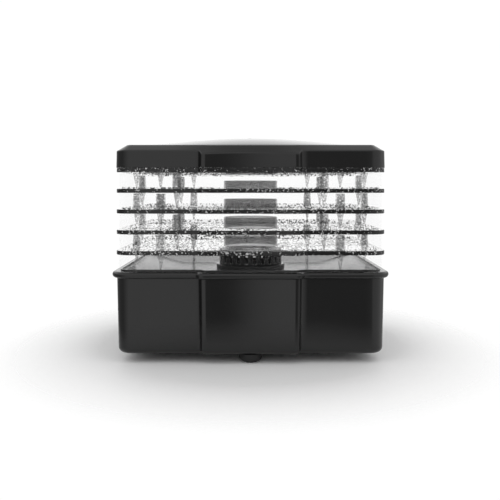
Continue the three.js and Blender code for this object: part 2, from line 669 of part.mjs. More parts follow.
// Knob: a tapered cap with finger flutes and a pointer ridge, hollow for its spindle.
function knob() {
  const from = CONTROL_FLOOR_FACE + GAP;
  const to = from + KNOB_LENGTH;
  const geometry = new THREE.CylinderGeometry(KNOB_RADIUS - 1.5, KNOB_RADIUS, KNOB_LENGTH, ROUND_SIDES);
  geometry.rotateZ(-Math.PI / 2);
  geometry.translate((from + to) / 2, KNOB_ALONG, CONTROL_MIDDLE);
  const flute = crossBar(from + KNOB_CAP, to + OVERCUT, 0, KNOB_RADIUS + 0.8, OVERCUT, TINY_SIDES);
  const flutes = [];
  for (let i = 1; i < KNOB_FLUTES; i++) {
    const turn = (i * 360) / KNOB_FLUTES;
    flutes.push(flute.rotate([turn, 0, 0]).translate([0, KNOB_ALONG, CONTROL_MIDDLE]));
  }
  const pointer = block(
    [to - 1, KNOB_ALONG - 0.9, CONTROL_MIDDLE + 3],
    [to + 0.8, KNOB_ALONG + 0.9, CONTROL_MIDDLE + KNOB_RADIUS - 2],
  );
  const bore = crossBar(from - OVERCUT, to - KNOB_CAP, KNOB_ALONG, CONTROL_MIDDLE, SPINDLE_RADIUS + GAP);
  return cut(solid(geometry), flutes).add(pointer).subtract(bore);
}

const THERMOSTAT_FRONT = CONTROL_FLOOR_FACE - CONTROL_WALL - GAP;

function thermostatSpindle() {
  const from = THERMOSTAT_FRONT - THERMOSTAT_DEPTH / 2 + GAP;
  const to = CONTROL_FLOOR_FACE + KNOB_LENGTH - KNOB_CAP;
  return crossBar(from, to, KNOB_ALONG, CONTROL_MIDDLE, SPINDLE_RADIUS);
}

function thermostat() {
  const half = THERMOSTAT_SIZE / 2;
  const body = block(
    [THERMOSTAT_FRONT - THERMOSTAT_DEPTH, KNOB_ALONG - half, CONTROL_MIDDLE - half],
    [THERMOSTAT_FRONT, KNOB_ALONG + half, CONTROL_MIDDLE + half],
  );
  const boreFrom = THERMOSTAT_FRONT - THERMOSTAT_DEPTH / 2;
  const boreTo = THERMOSTAT_FRONT + OVERCUT;
  const bore = crossBar(boreFrom, boreTo, KNOB_ALONG, CONTROL_MIDDLE, SPINDLE_RADIUS + GAP);
  return body.subtract(bore);
}

function switchHousing() {
  const halfLength = SWITCH_LENGTH / 2;
  const halfHeight = SWITCH_HEIGHT / 2;
  const flangeLength = halfLength + SWITCH_FLANGE;
  const flangeHeight = halfHeight + SWITCH_FLANGE;
  const front = CONTROL_FLOOR_FACE + GAP + SWITCH_FLANGE;
  const flange = block(
    [CONTROL_FLOOR_FACE + GAP, SWITCH_ALONG - flangeLength, CONTROL_MIDDLE - flangeHeight],
    [front, SWITCH_ALONG + flangeLength, CONTROL_MIDDLE + flangeHeight],
  );
  const body = block(
    [CONTROL_FLOOR_FACE - SWITCH_BODY_DEPTH, SWITCH_ALONG - halfLength, CONTROL_MIDDLE - halfHeight],
    [CONTROL_FLOOR_FACE + 2 * GAP, SWITCH_ALONG + halfLength, CONTROL_MIDDLE + halfHeight],
  );
  const well = block(
    [
      CONTROL_FLOOR_FACE - SWITCH_BODY_DEPTH / 2,
      SWITCH_ALONG - halfLength + SWITCH_WALL,
      CONTROL_MIDDLE - halfHeight + SWITCH_WALL,
    ],
    [
      front + OVERCUT,
      SWITCH_ALONG + halfLength - SWITCH_WALL,
      CONTROL_MIDDLE + halfHeight - SWITCH_WALL,
    ],
  );
  return join([flange, body]).subtract(well);
}

// Rocker: a shallow V outline seen from above, tilted to its off position about its pivot.
const ROCKER_PIVOT = CONTROL_FLOOR_FACE - 2;

function rocker() {
  const half = SWITCH_LENGTH / 2 - SWITCH_WALL - 3 * GAP;
  const crown = 4.4;
  const dip = half * Math.tan(ROCKER_TILT);
  const outlineShape = new THREE.Shape();
  const backHalf = half * 0.72;
  const back = -2;
  outlineShape.moveTo(back, -backHalf);
  outlineShape.lineTo(crown + dip, -half);
  outlineShape.lineTo(crown, 0);
  outlineShape.lineTo(crown + dip, half);
  outlineShape.lineTo(back, backHalf);
  const height = SWITCH_HEIGHT - 2 * SWITCH_WALL - 2 * GAP;
  const geometry = new THREE.ExtrudeGeometry(outlineShape, { depth: height, bevelEnabled: false });
  geometry.rotateZ(-ROCKER_TILT);
  geometry.translate(ROCKER_PIVOT, SWITCH_ALONG, CONTROL_MIDDLE - height / 2);
  return solid(geometry);
}

const LAMP_BODY_LENGTH = 12;

function lampLens() {
  const from = CONTROL_FLOOR_FACE - CONTROL_WALL;
  const stem = crossBar(from, CONTROL_FLOOR_FACE + 2 * GAP, LAMP_ALONG, CONTROL_MIDDLE, LAMP_RADIUS);
  const cap = new THREE.CylinderGeometry(LAMP_RADIUS, LAMP_RADIUS + 1, 2, SMALL_SIDES);
  cap.rotateZ(-Math.PI / 2);
  cap.translate(CONTROL_FLOOR_FACE + GAP + 1, LAMP_ALONG, CONTROL_MIDDLE);
  return stem.add(solid(cap));
}

function lampBody() {
  const to = CONTROL_FLOOR_FACE - CONTROL_WALL - GAP;
  return crossBar(to - LAMP_BODY_LENGTH, to, LAMP_ALONG, CONTROL_MIDDLE, LAMP_RADIUS + 1.5);
}

// ---------------------------------------------------------------- wiring
const TERMINAL_X = -118;
const TERMINAL_SIZE = [16, 34, 12];
const TERMINAL_PITCH = 10;
const TERMINAL_WELL = 2.6; // radius of each screw well

function cordGland() {
  const face = -BODY_LENGTH / 2 + draftAt(GLAND_HEIGHT + GLAND_COLLAR_RADIUS) - GAP;
  const inner = -BODY_LENGTH / 2 + draftAt(GLAND_HEIGHT - GLAND_COLLAR_RADIUS) + TUB_WALL + GAP;
  const stem = crossBar(face, inner + 6, 0, GLAND_HEIGHT, GLAND_RADIUS);
  const flange = crossBar(face - GLAND_FLANGE, face, 0, GLAND_HEIGHT, GLAND_COLLAR_RADIUS);
  const nut = crossBar(inner, inner + 5, 0, GLAND_HEIGHT, GLAND_COLLAR_RADIUS, 6);
  const bore = crossBar(face - GLAND_FLANGE - OVERCUT, inner + 6 + OVERCUT, 0, GLAND_HEIGHT, GLAND_BORE);
  return join([stem, flange, nut]).subtract(bore);
}

function terminalBlock() {
  const [sizeX, sizeY, sizeZ] = TERMINAL_SIZE;
  const bottom = TUB_FLOOR_TOP + GAP;
  const top = bottom + sizeZ;
  const wellBottom = bottom + sizeZ / 2;
  const body = block(
    [TERMINAL_X - sizeX / 2, -sizeY / 2, bottom],
    [TERMINAL_X + sizeX / 2, sizeY / 2, top],
  );
  const wells = [-TERMINAL_PITCH, 0, TERMINAL_PITCH].map(
    (y) => bar(TERMINAL_X, y, wellBottom, top + OVERCUT, TERMINAL_WELL, TINY_SIDES),
  );
  return cut(body, wells);
}

// An insulated lead along the tub's floor, from the terminal block round the duct to an end
// behind the controls. It keeps to the front (side -1) or the back (side 1) of the duct.
function lead(side, end) {
  const start = TERMINAL_X + TERMINAL_SIZE[0] / 2 + GAP + LEAD_RADIUS;
  const floor = TUB_FLOOR_TOP + LEAD_RADIUS + LEAD_CLEARANCE;
  const points = [
    new THREE.Vector3(start, side * TERMINAL_PITCH, floor + LEAD_RADIUS + TERMINAL_SIZE[2] / 4),
    new THREE.Vector3(start / 2 - DUCT_RADIUS / 2, side * DUCT_RADIUS * 0.85, floor + LEAD_RADIUS),
    new THREE.Vector3(-DUCT_RADIUS * 0.8, side * DUCT_RADIUS * 1.5, floor),
    new THREE.Vector3(DUCT_RADIUS * 0.6, side * DUCT_RADIUS * 1.6, floor),
    new THREE.Vector3(end.x * 0.7, side * DUCT_RADIUS * 1.2, floor + (end.z - floor) * 0.2),
    new THREE.Vector3(end.x - 10, (end.y + side * DUCT_RADIUS) / 2, floor + (end.z - floor) * 0.8),
    end,
  ];
  return wire(new THREE.CatmullRomCurve3(points), LEAD_RADIUS, 18, 6);
}

function switchLead() {
  const end = CONTROL_FLOOR_FACE - SWITCH_BODY_DEPTH - GAP - LEAD_RADIUS;
  return lead(1, new THREE.Vector3(end, SWITCH_ALONG, CONTROL_MIDDLE));
}

function thermostatLead() {
  const end = THERMOSTAT_FRONT - THERMOSTAT_DEPTH - GAP - LEAD_RADIUS;
  return lead(-1, new THREE.Vector3(end, KNOB_ALONG, CONTROL_MIDDLE));
}

// ---------------------------------------------------------------- trays
// Each tray hangs its clear wall from a rim; z = 0 is the top of the rim.
const RIM_MIDDLE = -TRAY_RIM_HEIGHT / 2;
const FLOOR_TOP = RIM_MIDDLE + TRAY_FLOOR / 2;
const FLOOR_BOTTOM = RIM_MIDDLE - TRAY_FLOOR / 2;
const WALL_INSIDE = TRAY_WALL_INSET + TRAY_WALL;

// Slots between the ribs of the floor, clear of the air hole's collar.
function floorSlots() {
  const slots = [];
  const reachX = BODY_LENGTH / 2 - FLOOR_MARGIN;
  const reachY = BODY_DEPTH / 2 - FLOOR_MARGIN;
  const columns = Math.floor((2 * reachX - FLOOR_SLOT_WIDTH) / FLOOR_SLOT_PITCH) + 1;
  const firstX = (-(columns - 1) * FLOOR_SLOT_PITCH) / 2;
  const keepOut = COLLAR_RADIUS + FLOOR_RIB;
  for (let i = 0; i < columns; i++) {
    const x = firstX + i * FLOOR_SLOT_PITCH;
    const nearX = Math.max(Math.abs(x) - FLOOR_SLOT_WIDTH / 2, 0);
    const start = nearX < keepOut ? Math.sqrt(keepOut * keepOut - nearX * nearX) : FLOOR_RIB / 2;
    const low = Math.max(start, FLOOR_RIB / 2);
    for (const side of [-1, 1]) {
      const ends = [side * low, side * reachY].sort((a, b) => a - b);
      slots.push(block(
        [x - FLOOR_SLOT_WIDTH / 2, ends[0], FLOOR_BOTTOM - 1],
        [x + FLOOR_SLOT_WIDTH / 2, ends[1], FLOOR_TOP + 1],
      ));
    }
  }
  return slots;
}

// Peg and socket places as [x, y, turned sideways]; alternate trays are turned half round.
function pegPlaces() {
  const inFromWall = WALL_INSIDE + SOCKET_DEPTH / 2 + 2 * GAP;
  const y = BODY_DEPTH / 2 - inFromWall;
  const x = BODY_LENGTH / 2 - inFromWall;
  return [
    [PEG_FRONT_OFFSET, -y, false], [-PEG_FRONT_OFFSET, -y, false],
    [PEG_BACK_OFFSET, y, false], [-PEG_BACK_OFFSET, y, false],
    [x, -PEG_SIDE_OFFSET, true], [-x, -PEG_SIDE_OFFSET, true],
  ];
}

// A square socket or its well, drawn in by an inset. Its sides lean in from the rim upwards.
function socket([x, y, sideways], inset, low, high) {
  const halfX = (sideways ? SOCKET_DEPTH : SOCKET_WIDTH) / 2 - inset;
  const halfY = (sideways ? SOCKET_WIDTH : SOCKET_DEPTH) / 2 - inset;
  const geometry = new THREE.BoxGeometry(2 * halfX, 2 * halfY, high - low);
  const position = geometry.attributes.position;
  for (let i = 0; i < position.count; i++) {
    const height = position.getZ(i) + (low + high) / 2;
    const lean = SOCKET_TAPER * (height / SOCKET_RISE);
    const cornerX = Math.sign(position.getX(i)) * (halfX - lean);
    const cornerY = Math.sign(position.getY(i)) * (halfY - lean);
    position.setXYZ(i, x + cornerX, y + cornerY, height);
  }
  return solid(geometry);
}

function tray() {
  const lipOuter = WALL_INSIDE + 2 * GAP;
  const rim = band(-TRAY_RIM_HEIGHT, 0, -TRAY_RIM_PROUD, lipOuter + LIP_WALL);
  const lip = band(RIM_MIDDLE, LIP_HEIGHT, lipOuter, lipOuter + LIP_WALL);
  const wall = band(-TRAY_HEIGHT, RIM_MIDDLE, TRAY_WALL_INSET, WALL_INSIDE);
  const floor = layer(FLOOR_BOTTOM, FLOOR_TOP, lipOuter);
  const collarLow = FLOOR_BOTTOM - TRAY_FLOOR / 2;
  const collar = bar(0, 0, collarLow, RIM_MIDDLE + COLLAR_RISE, COLLAR_RADIUS, ROUND_SIDES);
  const holeRadius = COLLAR_RADIUS - COLLAR_WALL;
  const airHole = bar(0, 0, collarLow - OVERCUT, COLLAR_RISE + OVERCUT, holeRadius, ROUND_SIDES);
  const places = pegPlaces();
  const pegTop = FLOOR_BOTTOM + TRAY_FLOOR / 2;
  const pegs = places.map(
    ([x, y]) => bar(x, y, pegTop - PEG_LENGTH, pegTop, PEG_TIP_RADIUS, 6, PEG_RADIUS),
  );
  const sockets = places.map((at) => socket(at, 0, RIM_MIDDLE, SOCKET_RISE));
  const wells = places.map((at) => socket(at, SOCKET_WALL, FLOOR_TOP, SOCKET_RISE + OVERCUT));
  const grid = cut(floor, floorSlots());
  return cut(join([rim, lip, wall, grid, collar, ...pegs, ...sockets]), [airHole, ...wells]);
}

// ---------------------------------------------------------------- lid
const WINDOW_INSET = LID_BEVEL_WIDTH + WINDOW_MARGIN;

function lidFrame() {
  const slope = LID_BEVEL_HEIGHT / LID_BEVEL_WIDTH;
  const outside = stacked([
    [LID_PLANE, LID_BEVEL_WIDTH, 0],
    [LID_SHOULDER, -LID_PROUD / 2, 1, slope],
    [LID_BOTTOM, -LID_PROUD],
  ]);
  const inside = stacked([
    [LID_PLANE - LID_TOP, LID_BEVEL_WIDTH + LID_WALL, 0],
    [LID_SHOULDER - LID_TOP / 2, LID_WALL, 1, slope],
    [LID_BOTTOM - OVERCUT, LID_WALL - LID_PROUD / 2],
  ]);
  const ledgeInset = WINDOW_INSET + WINDOW_LEDGE;
  const over = LID_PLANE + OVERCUT;
  const opening = stacked([[over, ledgeInset, 0], [LID_PLANE - LID_TOP - OVERCUT, ledgeInset, 0]]);
  const seat = stacked([[over, WINDOW_INSET, 0], [LID_PLANE - WINDOW_SEAT, WINDOW_INSET, 0]]);
  return cut(outside, [inside, opening, seat]);
}

// A plate with a crowned top: the height over the flat is the crown times
// (1 - (x/a)^2) (1 - (y/b)^2), carried over rings that shrink to the middle.
function crowned(inset, bottom, flat, crown) {
  const a = BODY_LENGTH / 2 - WINDOW_INSET + WINDOW_FALL_MARGIN;
  const b = BODY_DEPTH / 2 - WINDOW_INSET + WINDOW_FALL_MARGIN;
  const edge = level(0, inset, 0);
  const rings = [];
  const count = 5;
  for (let i = 1; i <= count; i++) {
    rings.push(edge.map((p) => {
      const x = (p.x * i) / count;
      const y = (p.y * i) / count;
      return new THREE.Vector3(x, y, flat + crown * (1 - (x / a) ** 2) * (1 - (y / b) ** 2));
    }));
  }
  rings.push(edge.map((p) => new THREE.Vector3(p.x, p.y, bottom)));
  return stackedRings(rings);
}

// Window: a crowned shell that sits in the lid's recess, with a ring of air slots.
function lidWindow() {
  const bottom = LID_PLANE - WINDOW_SEAT + GAP;
  const outside = crowned(WINDOW_INSET + GAP, bottom, LID_PLANE, WINDOW_CROWN);
  const hollowFlat = LID_PLANE - WINDOW_THICKNESS;
  const hollow = crowned(WINDOW_INSET + WINDOW_LEDGE, bottom - OVERCUT, hollowFlat, WINDOW_CROWN);
  const slot = block(
    [VENT_RING_RADIUS - VENT_LENGTH / 2, -VENT_WIDTH / 2, LID_PLANE],
    [VENT_RING_RADIUS + VENT_LENGTH / 2, VENT_WIDTH / 2, LID_PLANE + WINDOW_CROWN + OVERCUT],
  );
  return cut(outside, [hollow, ...ringOf(VENT_COUNT, slot)]);
}

// ---------------------------------------------------------------- the assembly
place('base_tub', tub(), satinBlack());
place('base_deck', deck(), glossBlack());
const footSolid = foot();
for (const [side, [x, y]] of Object.entries(FOOT_PLACES)) {
  place(`foot_${side}`, footSolid, rubberBlack(), [x, y, 0]);
}
const deckScrew = screw(SCREW_LENGTH);
BOSS_PLACES.forEach(([x, y], i) => {
  place(`deck_screw_${i + 1}`, deckScrew, steel(), [x, y, FOOT_HEIGHT - GAP]);
});

place('outlet_tower', tower(), glossBlack());
place('air_duct', duct(), whitePlastic());
place('motor_bracket', motorBracket(), steel());
const bracketScrew = screw(MOTOR_SCREW_LENGTH);
[-LUG_PLACE, LUG_PLACE].forEach((x, i) => {
  place(`bracket_screw_${i + 1}`, bracketScrew, steel(), [x, 0, BRACKET_TOP - BRACKET_THICKNESS - GAP]);
});
place('fan_motor', motor(), motorSteel());
place('motor_shaft', motorShaft(), steel());
place('fan_impeller', fan(), whitePlastic());
place('heater_frame', heaterFrame(), micaBoard());
place('heater_coil', heaterCoil(), heaterWire());
place('thermal_fuse', thermalFuse(), steel());

place('control_bezel', controlBezel(), glossBlack());
place('control_knob', knob(), satinBlack());
place('thermostat_spindle', thermostatSpindle(), steel());
place('thermostat', thermostat(), whitePlastic());
place('switch_housing', switchHousing(), satinBlack());
place('switch_rocker', rocker(), satinBlack());
place('pilot_lamp_lens', lampLens(), redLens());
place('pilot_lamp_body', lampBody(), whitePlastic());

place('cord_gland', cordGland(), rubberBlack());
place('terminal_block', terminalBlock(), whitePlastic());
place('switch_lead', switchLead(), whitePlastic());
place('thermostat_lead', thermostatLead(), whitePlastic());

const traySolid = tray();
for (let i = 1; i <= TRAY_COUNT; i++) {
  const rimTop = STACK_TOP - (i - 1) * TRAY_PITCH;
  place(`tray_${i}`, traySolid, clearPlastic(), [0, 0, rimTop], i % 2 === 0 ? Math.PI : 0);
}

place('lid_frame', lidFrame(), satinBlack());
place('lid_window', lidWindow(), smokedPlastic());

export default dehydrator;
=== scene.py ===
"""Stacking food dehydrator: black fan base, five clear trays with mesh floors, black lid."""

import math

import bpy
import numpy as np
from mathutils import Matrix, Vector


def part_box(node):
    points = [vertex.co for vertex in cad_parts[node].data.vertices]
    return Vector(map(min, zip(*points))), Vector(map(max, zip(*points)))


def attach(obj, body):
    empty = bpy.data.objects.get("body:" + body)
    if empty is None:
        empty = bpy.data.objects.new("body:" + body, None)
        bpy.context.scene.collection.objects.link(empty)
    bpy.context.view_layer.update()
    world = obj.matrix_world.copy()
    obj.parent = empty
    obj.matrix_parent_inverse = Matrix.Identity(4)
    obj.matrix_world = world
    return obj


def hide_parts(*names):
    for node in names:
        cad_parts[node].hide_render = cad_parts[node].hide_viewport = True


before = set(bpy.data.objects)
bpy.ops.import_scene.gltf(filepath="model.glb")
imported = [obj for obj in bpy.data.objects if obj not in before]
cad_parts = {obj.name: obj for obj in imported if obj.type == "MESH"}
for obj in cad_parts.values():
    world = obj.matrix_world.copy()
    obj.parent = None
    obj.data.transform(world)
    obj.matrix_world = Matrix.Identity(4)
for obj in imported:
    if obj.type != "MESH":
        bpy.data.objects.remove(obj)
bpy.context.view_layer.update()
MM = 0.001

# ------------------------------------------------------------------ sizes in millimetres
def corners(node):
    """Low and high corner of a node's box."""
    low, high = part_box(node)
    return np.array(low) / MM, np.array(high) / MM


def middle_of(node):
    """Middle of a node's box, seen from above."""
    return np.mean(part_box(node), axis=0)[:2] / MM


tub_low, tub_high = corners("base_tub")
lid_low, lid_high = corners("lid_frame")
deck_high = corners("base_deck")[1]
tower_high = corners("outlet_tower")[1]
window_high = corners("lid_window")[1]

TRAY_COUNT = 5
PANEL_PROUD = 7.0  # the raised panel stands this far out of the long sides
PANEL_SCOOP = 2.5  # and is hollowed by this much in its middle
HALF_PANEL = 59.5
STEP_RUN = 5.0  # along the side, from the flat side up to the panel's face
HALF_LENGTH = tub_high[0]
HALF_DEPTH = tub_high[1] - PANEL_PROUD
CORNER = 18.0
LIP_RISE = 2.2  # the deck's and each tray's lip, which holds the tray above in place
TUB_BOTTOM = tub_low[2]
TUB_TOP = tub_high[2]
TUB_DRAFT = 1.9
TUB_EDGE = 7.0
TUB_WALL = 2.8
DECK_TOP = deck_high[2] - LIP_RISE
DECK_SHEET = 2.5
DISH_FLOOR = DECK_TOP - 8.7


# ------------------------------------------------------------------ meshes
SHARP = math.radians(32)


def make_mesh(name, points, faces, smooth=True):
    """Puts a piece's points (millimetres) and faces into a new object at the origin."""
    mesh = bpy.data.meshes.new(name)
    mesh.from_pydata(np.asarray(points, float) * MM, [], faces)
    mesh.validate()
    mesh.polygons.foreach_set("use_smooth", np.full(len(mesh.polygons), smooth))
    mesh.update()
    if smooth:
        mesh.set_sharp_from_angle(angle=SHARP)
    piece = bpy.data.objects.new(name, mesh)
    bpy.context.scene.collection.objects.link(piece)
    return piece


def grid_faces(rows, columns, close_rows, close_columns):
    """Quads of a grid of rows by columns; a closed direction joins its last line to its first."""
    r = np.arange(rows if close_rows else rows - 1)
    c = np.arange(columns if close_columns else columns - 1)
    r, c = np.meshgrid(r, c, indexing="ij")
    r2, c2 = (r + 1) % rows, (c + 1) % columns
    corners = (r * columns + c, r * columns + c2, r2 * columns + c2, r2 * columns + c)
    return np.stack([corner.ravel() for corner in corners], axis=1)


def skin(name, grid, close_rows=False, close_columns=True, keep=None):
    """A surface through a grid of points. Rows follow the profile, columns go round the piece.
    keep marks the cells that stay, so that slots can be left open."""
    rows, columns = grid.shape[:2]
    faces = grid_faces(rows, columns, close_rows, close_columns)
    if keep is not None:
        faces = faces[keep.ravel()]
    return make_mesh(name, grid.reshape(-1, 3), faces.tolist())


def joined(name, parts, smooth=True):
    """One object from several (points, faces) pairs."""
    points, faces, start = [], [], 0
    for part_points, part_faces in parts:
        points.append(part_points)
        faces.extend((np.asarray(part_faces) + start).tolist())
        start += len(part_points)
    return make_mesh(name, np.concatenate(points), faces, smooth)


def arc(x, z, radius, start, end, steps):
    """Points of a circular arc about (x, z); angles in degrees from +x towards +z."""
    angle = np.radians(np.linspace(start, end, steps + 1))
    return np.stack([x + radius * np.cos(angle), z + radius * np.sin(angle)], axis=1)


def finish_piece(piece, body, material, replaced=(), bevel=None):
    """Gives a piece its body and material, and hides the nodes that it stands for."""
    piece.data.materials.append(material)
    if bevel:
        edge = piece.modifiers.new("edge", "BEVEL")
        edge.width = bevel * MM
        edge.segments = 2
        edge.limit_method = "ANGLE"
        edge.angle_limit = math.radians(40)
    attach(piece, body)
    if replaced:
        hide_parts(*replaced)
    return piece


# ------------------------------------------------------------------ the body's outline
CORNER_STEPS = 14
SIDE_STEPS = 10
STEP_STEPS = 10
FACE_STEPS = 12


def outline(inset, share=1.0):
    """Closed plan outline for each inset, as an array of insets by points by (x, y, stand-out).
    A rounded rectangle whose long sides carry a raised panel: its edges rise along
    a smooth S (3t^2 - 2t^3) and its face is hollowed by a parabola. The panel stands
    out by a share of its full height."""
    inset = np.atleast_1d(np.asarray(inset, float))[:, None]
    proud = PANEL_PROUD * np.broadcast_to(np.reshape(share, (-1, 1)), inset.shape)
    scoop = PANEL_SCOOP / PANEL_PROUD * proud
    half_x = HALF_LENGTH - inset
    half_y = HALF_DEPTH - inset
    radius = np.maximum(CORNER - inset, 2.5)
    panel = HALF_PANEL - inset / 2
    t = np.linspace(0, 1, SIDE_STEPS + 1)[None, :-1]
    side = np.stack(np.broadcast_arrays(half_x, (half_y - radius) * t, 0.0), axis=2)
    angle = np.linspace(0, math.pi / 2, CORNER_STEPS + 1)[None, :-1]
    corner_x = half_x - radius + radius * np.cos(angle)
    corner_y = half_y - radius + radius * np.sin(angle)
    corner = np.stack(np.broadcast_arrays(corner_x, corner_y, 0.0), axis=2)
    run_x = (half_x - radius) * (1 - t) + (panel + STEP_RUN / 2) * t
    run = np.stack(np.broadcast_arrays(run_x, half_y, 0.0), axis=2)
    s = np.linspace(0, 1, STEP_STEPS + 1)[None, :-1]
    rise = proud * s * s * (3 - 2 * s)
    step = np.stack([panel + STEP_RUN * (0.5 - s), half_y + rise, rise], axis=2)
    u = 1 - np.linspace(0, 1, FACE_STEPS + 1)[None, :]
    out = proud - scoop * (1 - u * u)
    face = np.stack([(panel - STEP_RUN / 2) * u, half_y + out, out], axis=2)
    quarter = np.concatenate([side, corner, run, step, face], axis=1)
    mirrored = (quarter * [-1, 1, 1])[:, ::-1][:, 1:-1]
    half = np.concatenate([quarter, mirrored], axis=1)
    far = np.stack([-half_x, np.zeros_like(half_x), np.zeros_like(half_x)], axis=2)
    other = half[:, 1:] * [-1, -1, 1]
    return np.concatenate([half, far, other], axis=1)


def lofted(profile, share=1.0, dip=0.0):
    """Grid of points of a profile of (inset, height) rows carried round the outline. Each
    row falls by its dip for every millimetre that the panel stands out."""
    profile = np.asarray(profile, float)
    plan = outline(profile[:, 0], share)
    height = profile[:, 1][:, None] - np.reshape(dip, (-1, 1)) * plan[:, :, 2]
    return np.concatenate([plan[:, :, :2], height[:, :, None]], axis=2)


def ring(radius_x, radius_y, height):
    """One row of points on an ellipse, each at the bearing of the outline's matching point."""
    plan = outline(0)[0]
    bearing = np.arctan2(plan[:, 1], plan[:, 0])
    reach = 1 / np.hypot(np.cos(bearing) / radius_x, np.sin(bearing) / radius_y)
    across, along = reach * np.cos(bearing), reach * np.sin(bearing)
    return np.stack([across, along, np.full(len(plan), height)], axis=1)


def spread(first, last, steps):
    """Rows of points between two rows, both ends left out."""
    t = np.linspace(0, 1, steps + 2)[1:-1, None, None]
    return first[None] * (1 - t) + last[None] * t


# ------------------------------------------------------------------ shader maths
class Value:
    """A socket in a material's node tree; operators add the Math nodes that they mean."""

    def __init__(self, tree, socket):
        self.tree = tree
        self.socket = socket

    def node(self, kind, settings=None, out=0, **sockets):
        """Adds a node: its settings first, then the values or links of its sockets."""
        made = self.tree.nodes.new(kind)
        for key, value in (settings or {}).items():
            if key == "stops":
                ramp = made.color_ramp
                ramp.elements[0].position, ramp.elements[0].color = value[0]
                ramp.elements[1].position, ramp.elements[1].color = value[-1]
                for place, colour in value[1:-1]:
                    ramp.elements.new(place).color = colour
            else:
                setattr(made, key, value)
        for key, value in sockets.items():
            place = int(key[1:]) if key[0] == "i" and key[1:].isdigit() else key.replace("_", " ")
            socket = made.inputs[place]
            if isinstance(value, Value):
                self.tree.links.new(value.socket, socket)
            else:
                socket.default_value = value
        return Value(self.tree, made.outputs[out])

    def math(self, operation, other=0.0, flipped=False):
        """This value and another through one Math node, in the other order if flipped."""
        a, b = (other, self) if flipped else (self, other)
        return self.node("ShaderNodeMath", {"operation": operation}, i0=a, i1=b)

    def __add__(self, other):
        return self.math("ADD", other)

    def __radd__(self, other):
        return self.math("ADD", other)

    def __sub__(self, other):
        return self.math("SUBTRACT", other)

    def __rsub__(self, other):
        return self.math("SUBTRACT", other, True)

    def __mul__(self, other):
        return self.math("MULTIPLY", other)

    def __rmul__(self, other):
        return self.math("MULTIPLY", other)

    def noise(self, scale, detail=2.0, rough=0.5):
        """Noise from 0 to 1 at this place, with scale features to the metre."""
        settings = {"noise_dimensions": "3D"}
        sockets = {"Vector": self, "Scale": scale, "Detail": detail, "Roughness": rough}
        return self.node("ShaderNodeTexNoise", settings, **sockets)

    def between(self, low, high):
        """0 at low, 1 at high, clamped."""
        return self.node("ShaderNodeMapRange", None, Value=self, From_Min=low, From_Max=high)

    def blend(self, first, second):
        """The colour first where this is 0 and second where it is 1."""
        settings = {"data_type": "RGBA"}
        return self.node("ShaderNodeMix", settings, out=2, i0=self, i6=first, i7=second)

    def ramp(self, stops):
        """The colour that a list of (place, colour) stops gives at this value."""
        return self.node("ShaderNodeValToRGB", {"stops": stops}, Fac=self)


def grey(level, warm=0.0):
    """A grey, or a warm tone where warm is over 0, as a linear colour."""
    return (level * (1 + warm), level, level * (1 - warm), 1.0)


def new_material(name, **constants):
    """A material with one Principled shader whose unvarying sockets are set directly."""
    material = bpy.data.materials.new(name)
    material.use_nodes = True
    tree = material.node_tree
    shader = tree.nodes["Principled BSDF"]
    for key, value in constants.items():
        shader.inputs[key.replace("_", " ")].default_value = value
    place = Value(tree, tree.nodes.new("ShaderNodeTexCoord").outputs["Object"])
    return material, shader, place


def feed(shader, place, **sockets):
    """Links what varies over the surface to the shader's sockets."""
    for key, value in sockets.items():
        place.tree.links.new(value.socket, shader.inputs[key.replace("_", " ")])


def bumped(place, height, distance, strength=1.0):
    """Normal of a surface with a fine relief, whose distance is in metres."""
    return place.node("ShaderNodeBump", None, Height=height, Distance=distance, Strength=strength)


def moulded_plastic(name, level, roughness, grain, warm=0.0, relief=0.00002):
    """Injection-moulded plastic: faint mottling of colour and gloss and a fine grain."""
    material, shader, place = new_material(name, IOR=1.5)
    broad = place.noise(14.0, 3.0)
    fine = place.noise(grain, 2.0)
    tone = broad.between(0.35, 0.65)
    feed(
        shader,
        place,
        Base_Color=tone.blend(grey(level * 0.9, warm), grey(level * 1.12, warm)),
        Roughness=(fine - 0.5) * (roughness * 0.3) + (broad - 0.5) * (roughness * 0.2) + roughness,
        Normal=bumped(place, fine, relief),
    )
    return material


def clear_plastic(name, level, alpha, roughness=0.06, edge_alpha=None):
    """Clear moulded plastic: a film that lets light through and looks denser at its edges."""
    material, shader, place = new_material(name, IOR=1.49)
    broad = place.noise(20.0, 2.0)
    turned_away = place.node("ShaderNodeLayerWeight", None, out=1, Blend=0.5)
    edge = turned_away.between(0.75, 1.0)
    thickness = (broad - 0.5) * (alpha * 0.4) + alpha
    if edge_alpha is not None:
        thickness = edge * edge * (edge_alpha - alpha) + thickness
    feed(
        shader,
        place,
        Base_Color=broad.blend(grey(level * 0.92), grey(level * 1.05)),
        Roughness=roughness + (broad - 0.5) * 0.02,
        Alpha=thickness,
    )
    return material


BACKFACING = 6  # the Geometry node's output that is 1 on a surface's back


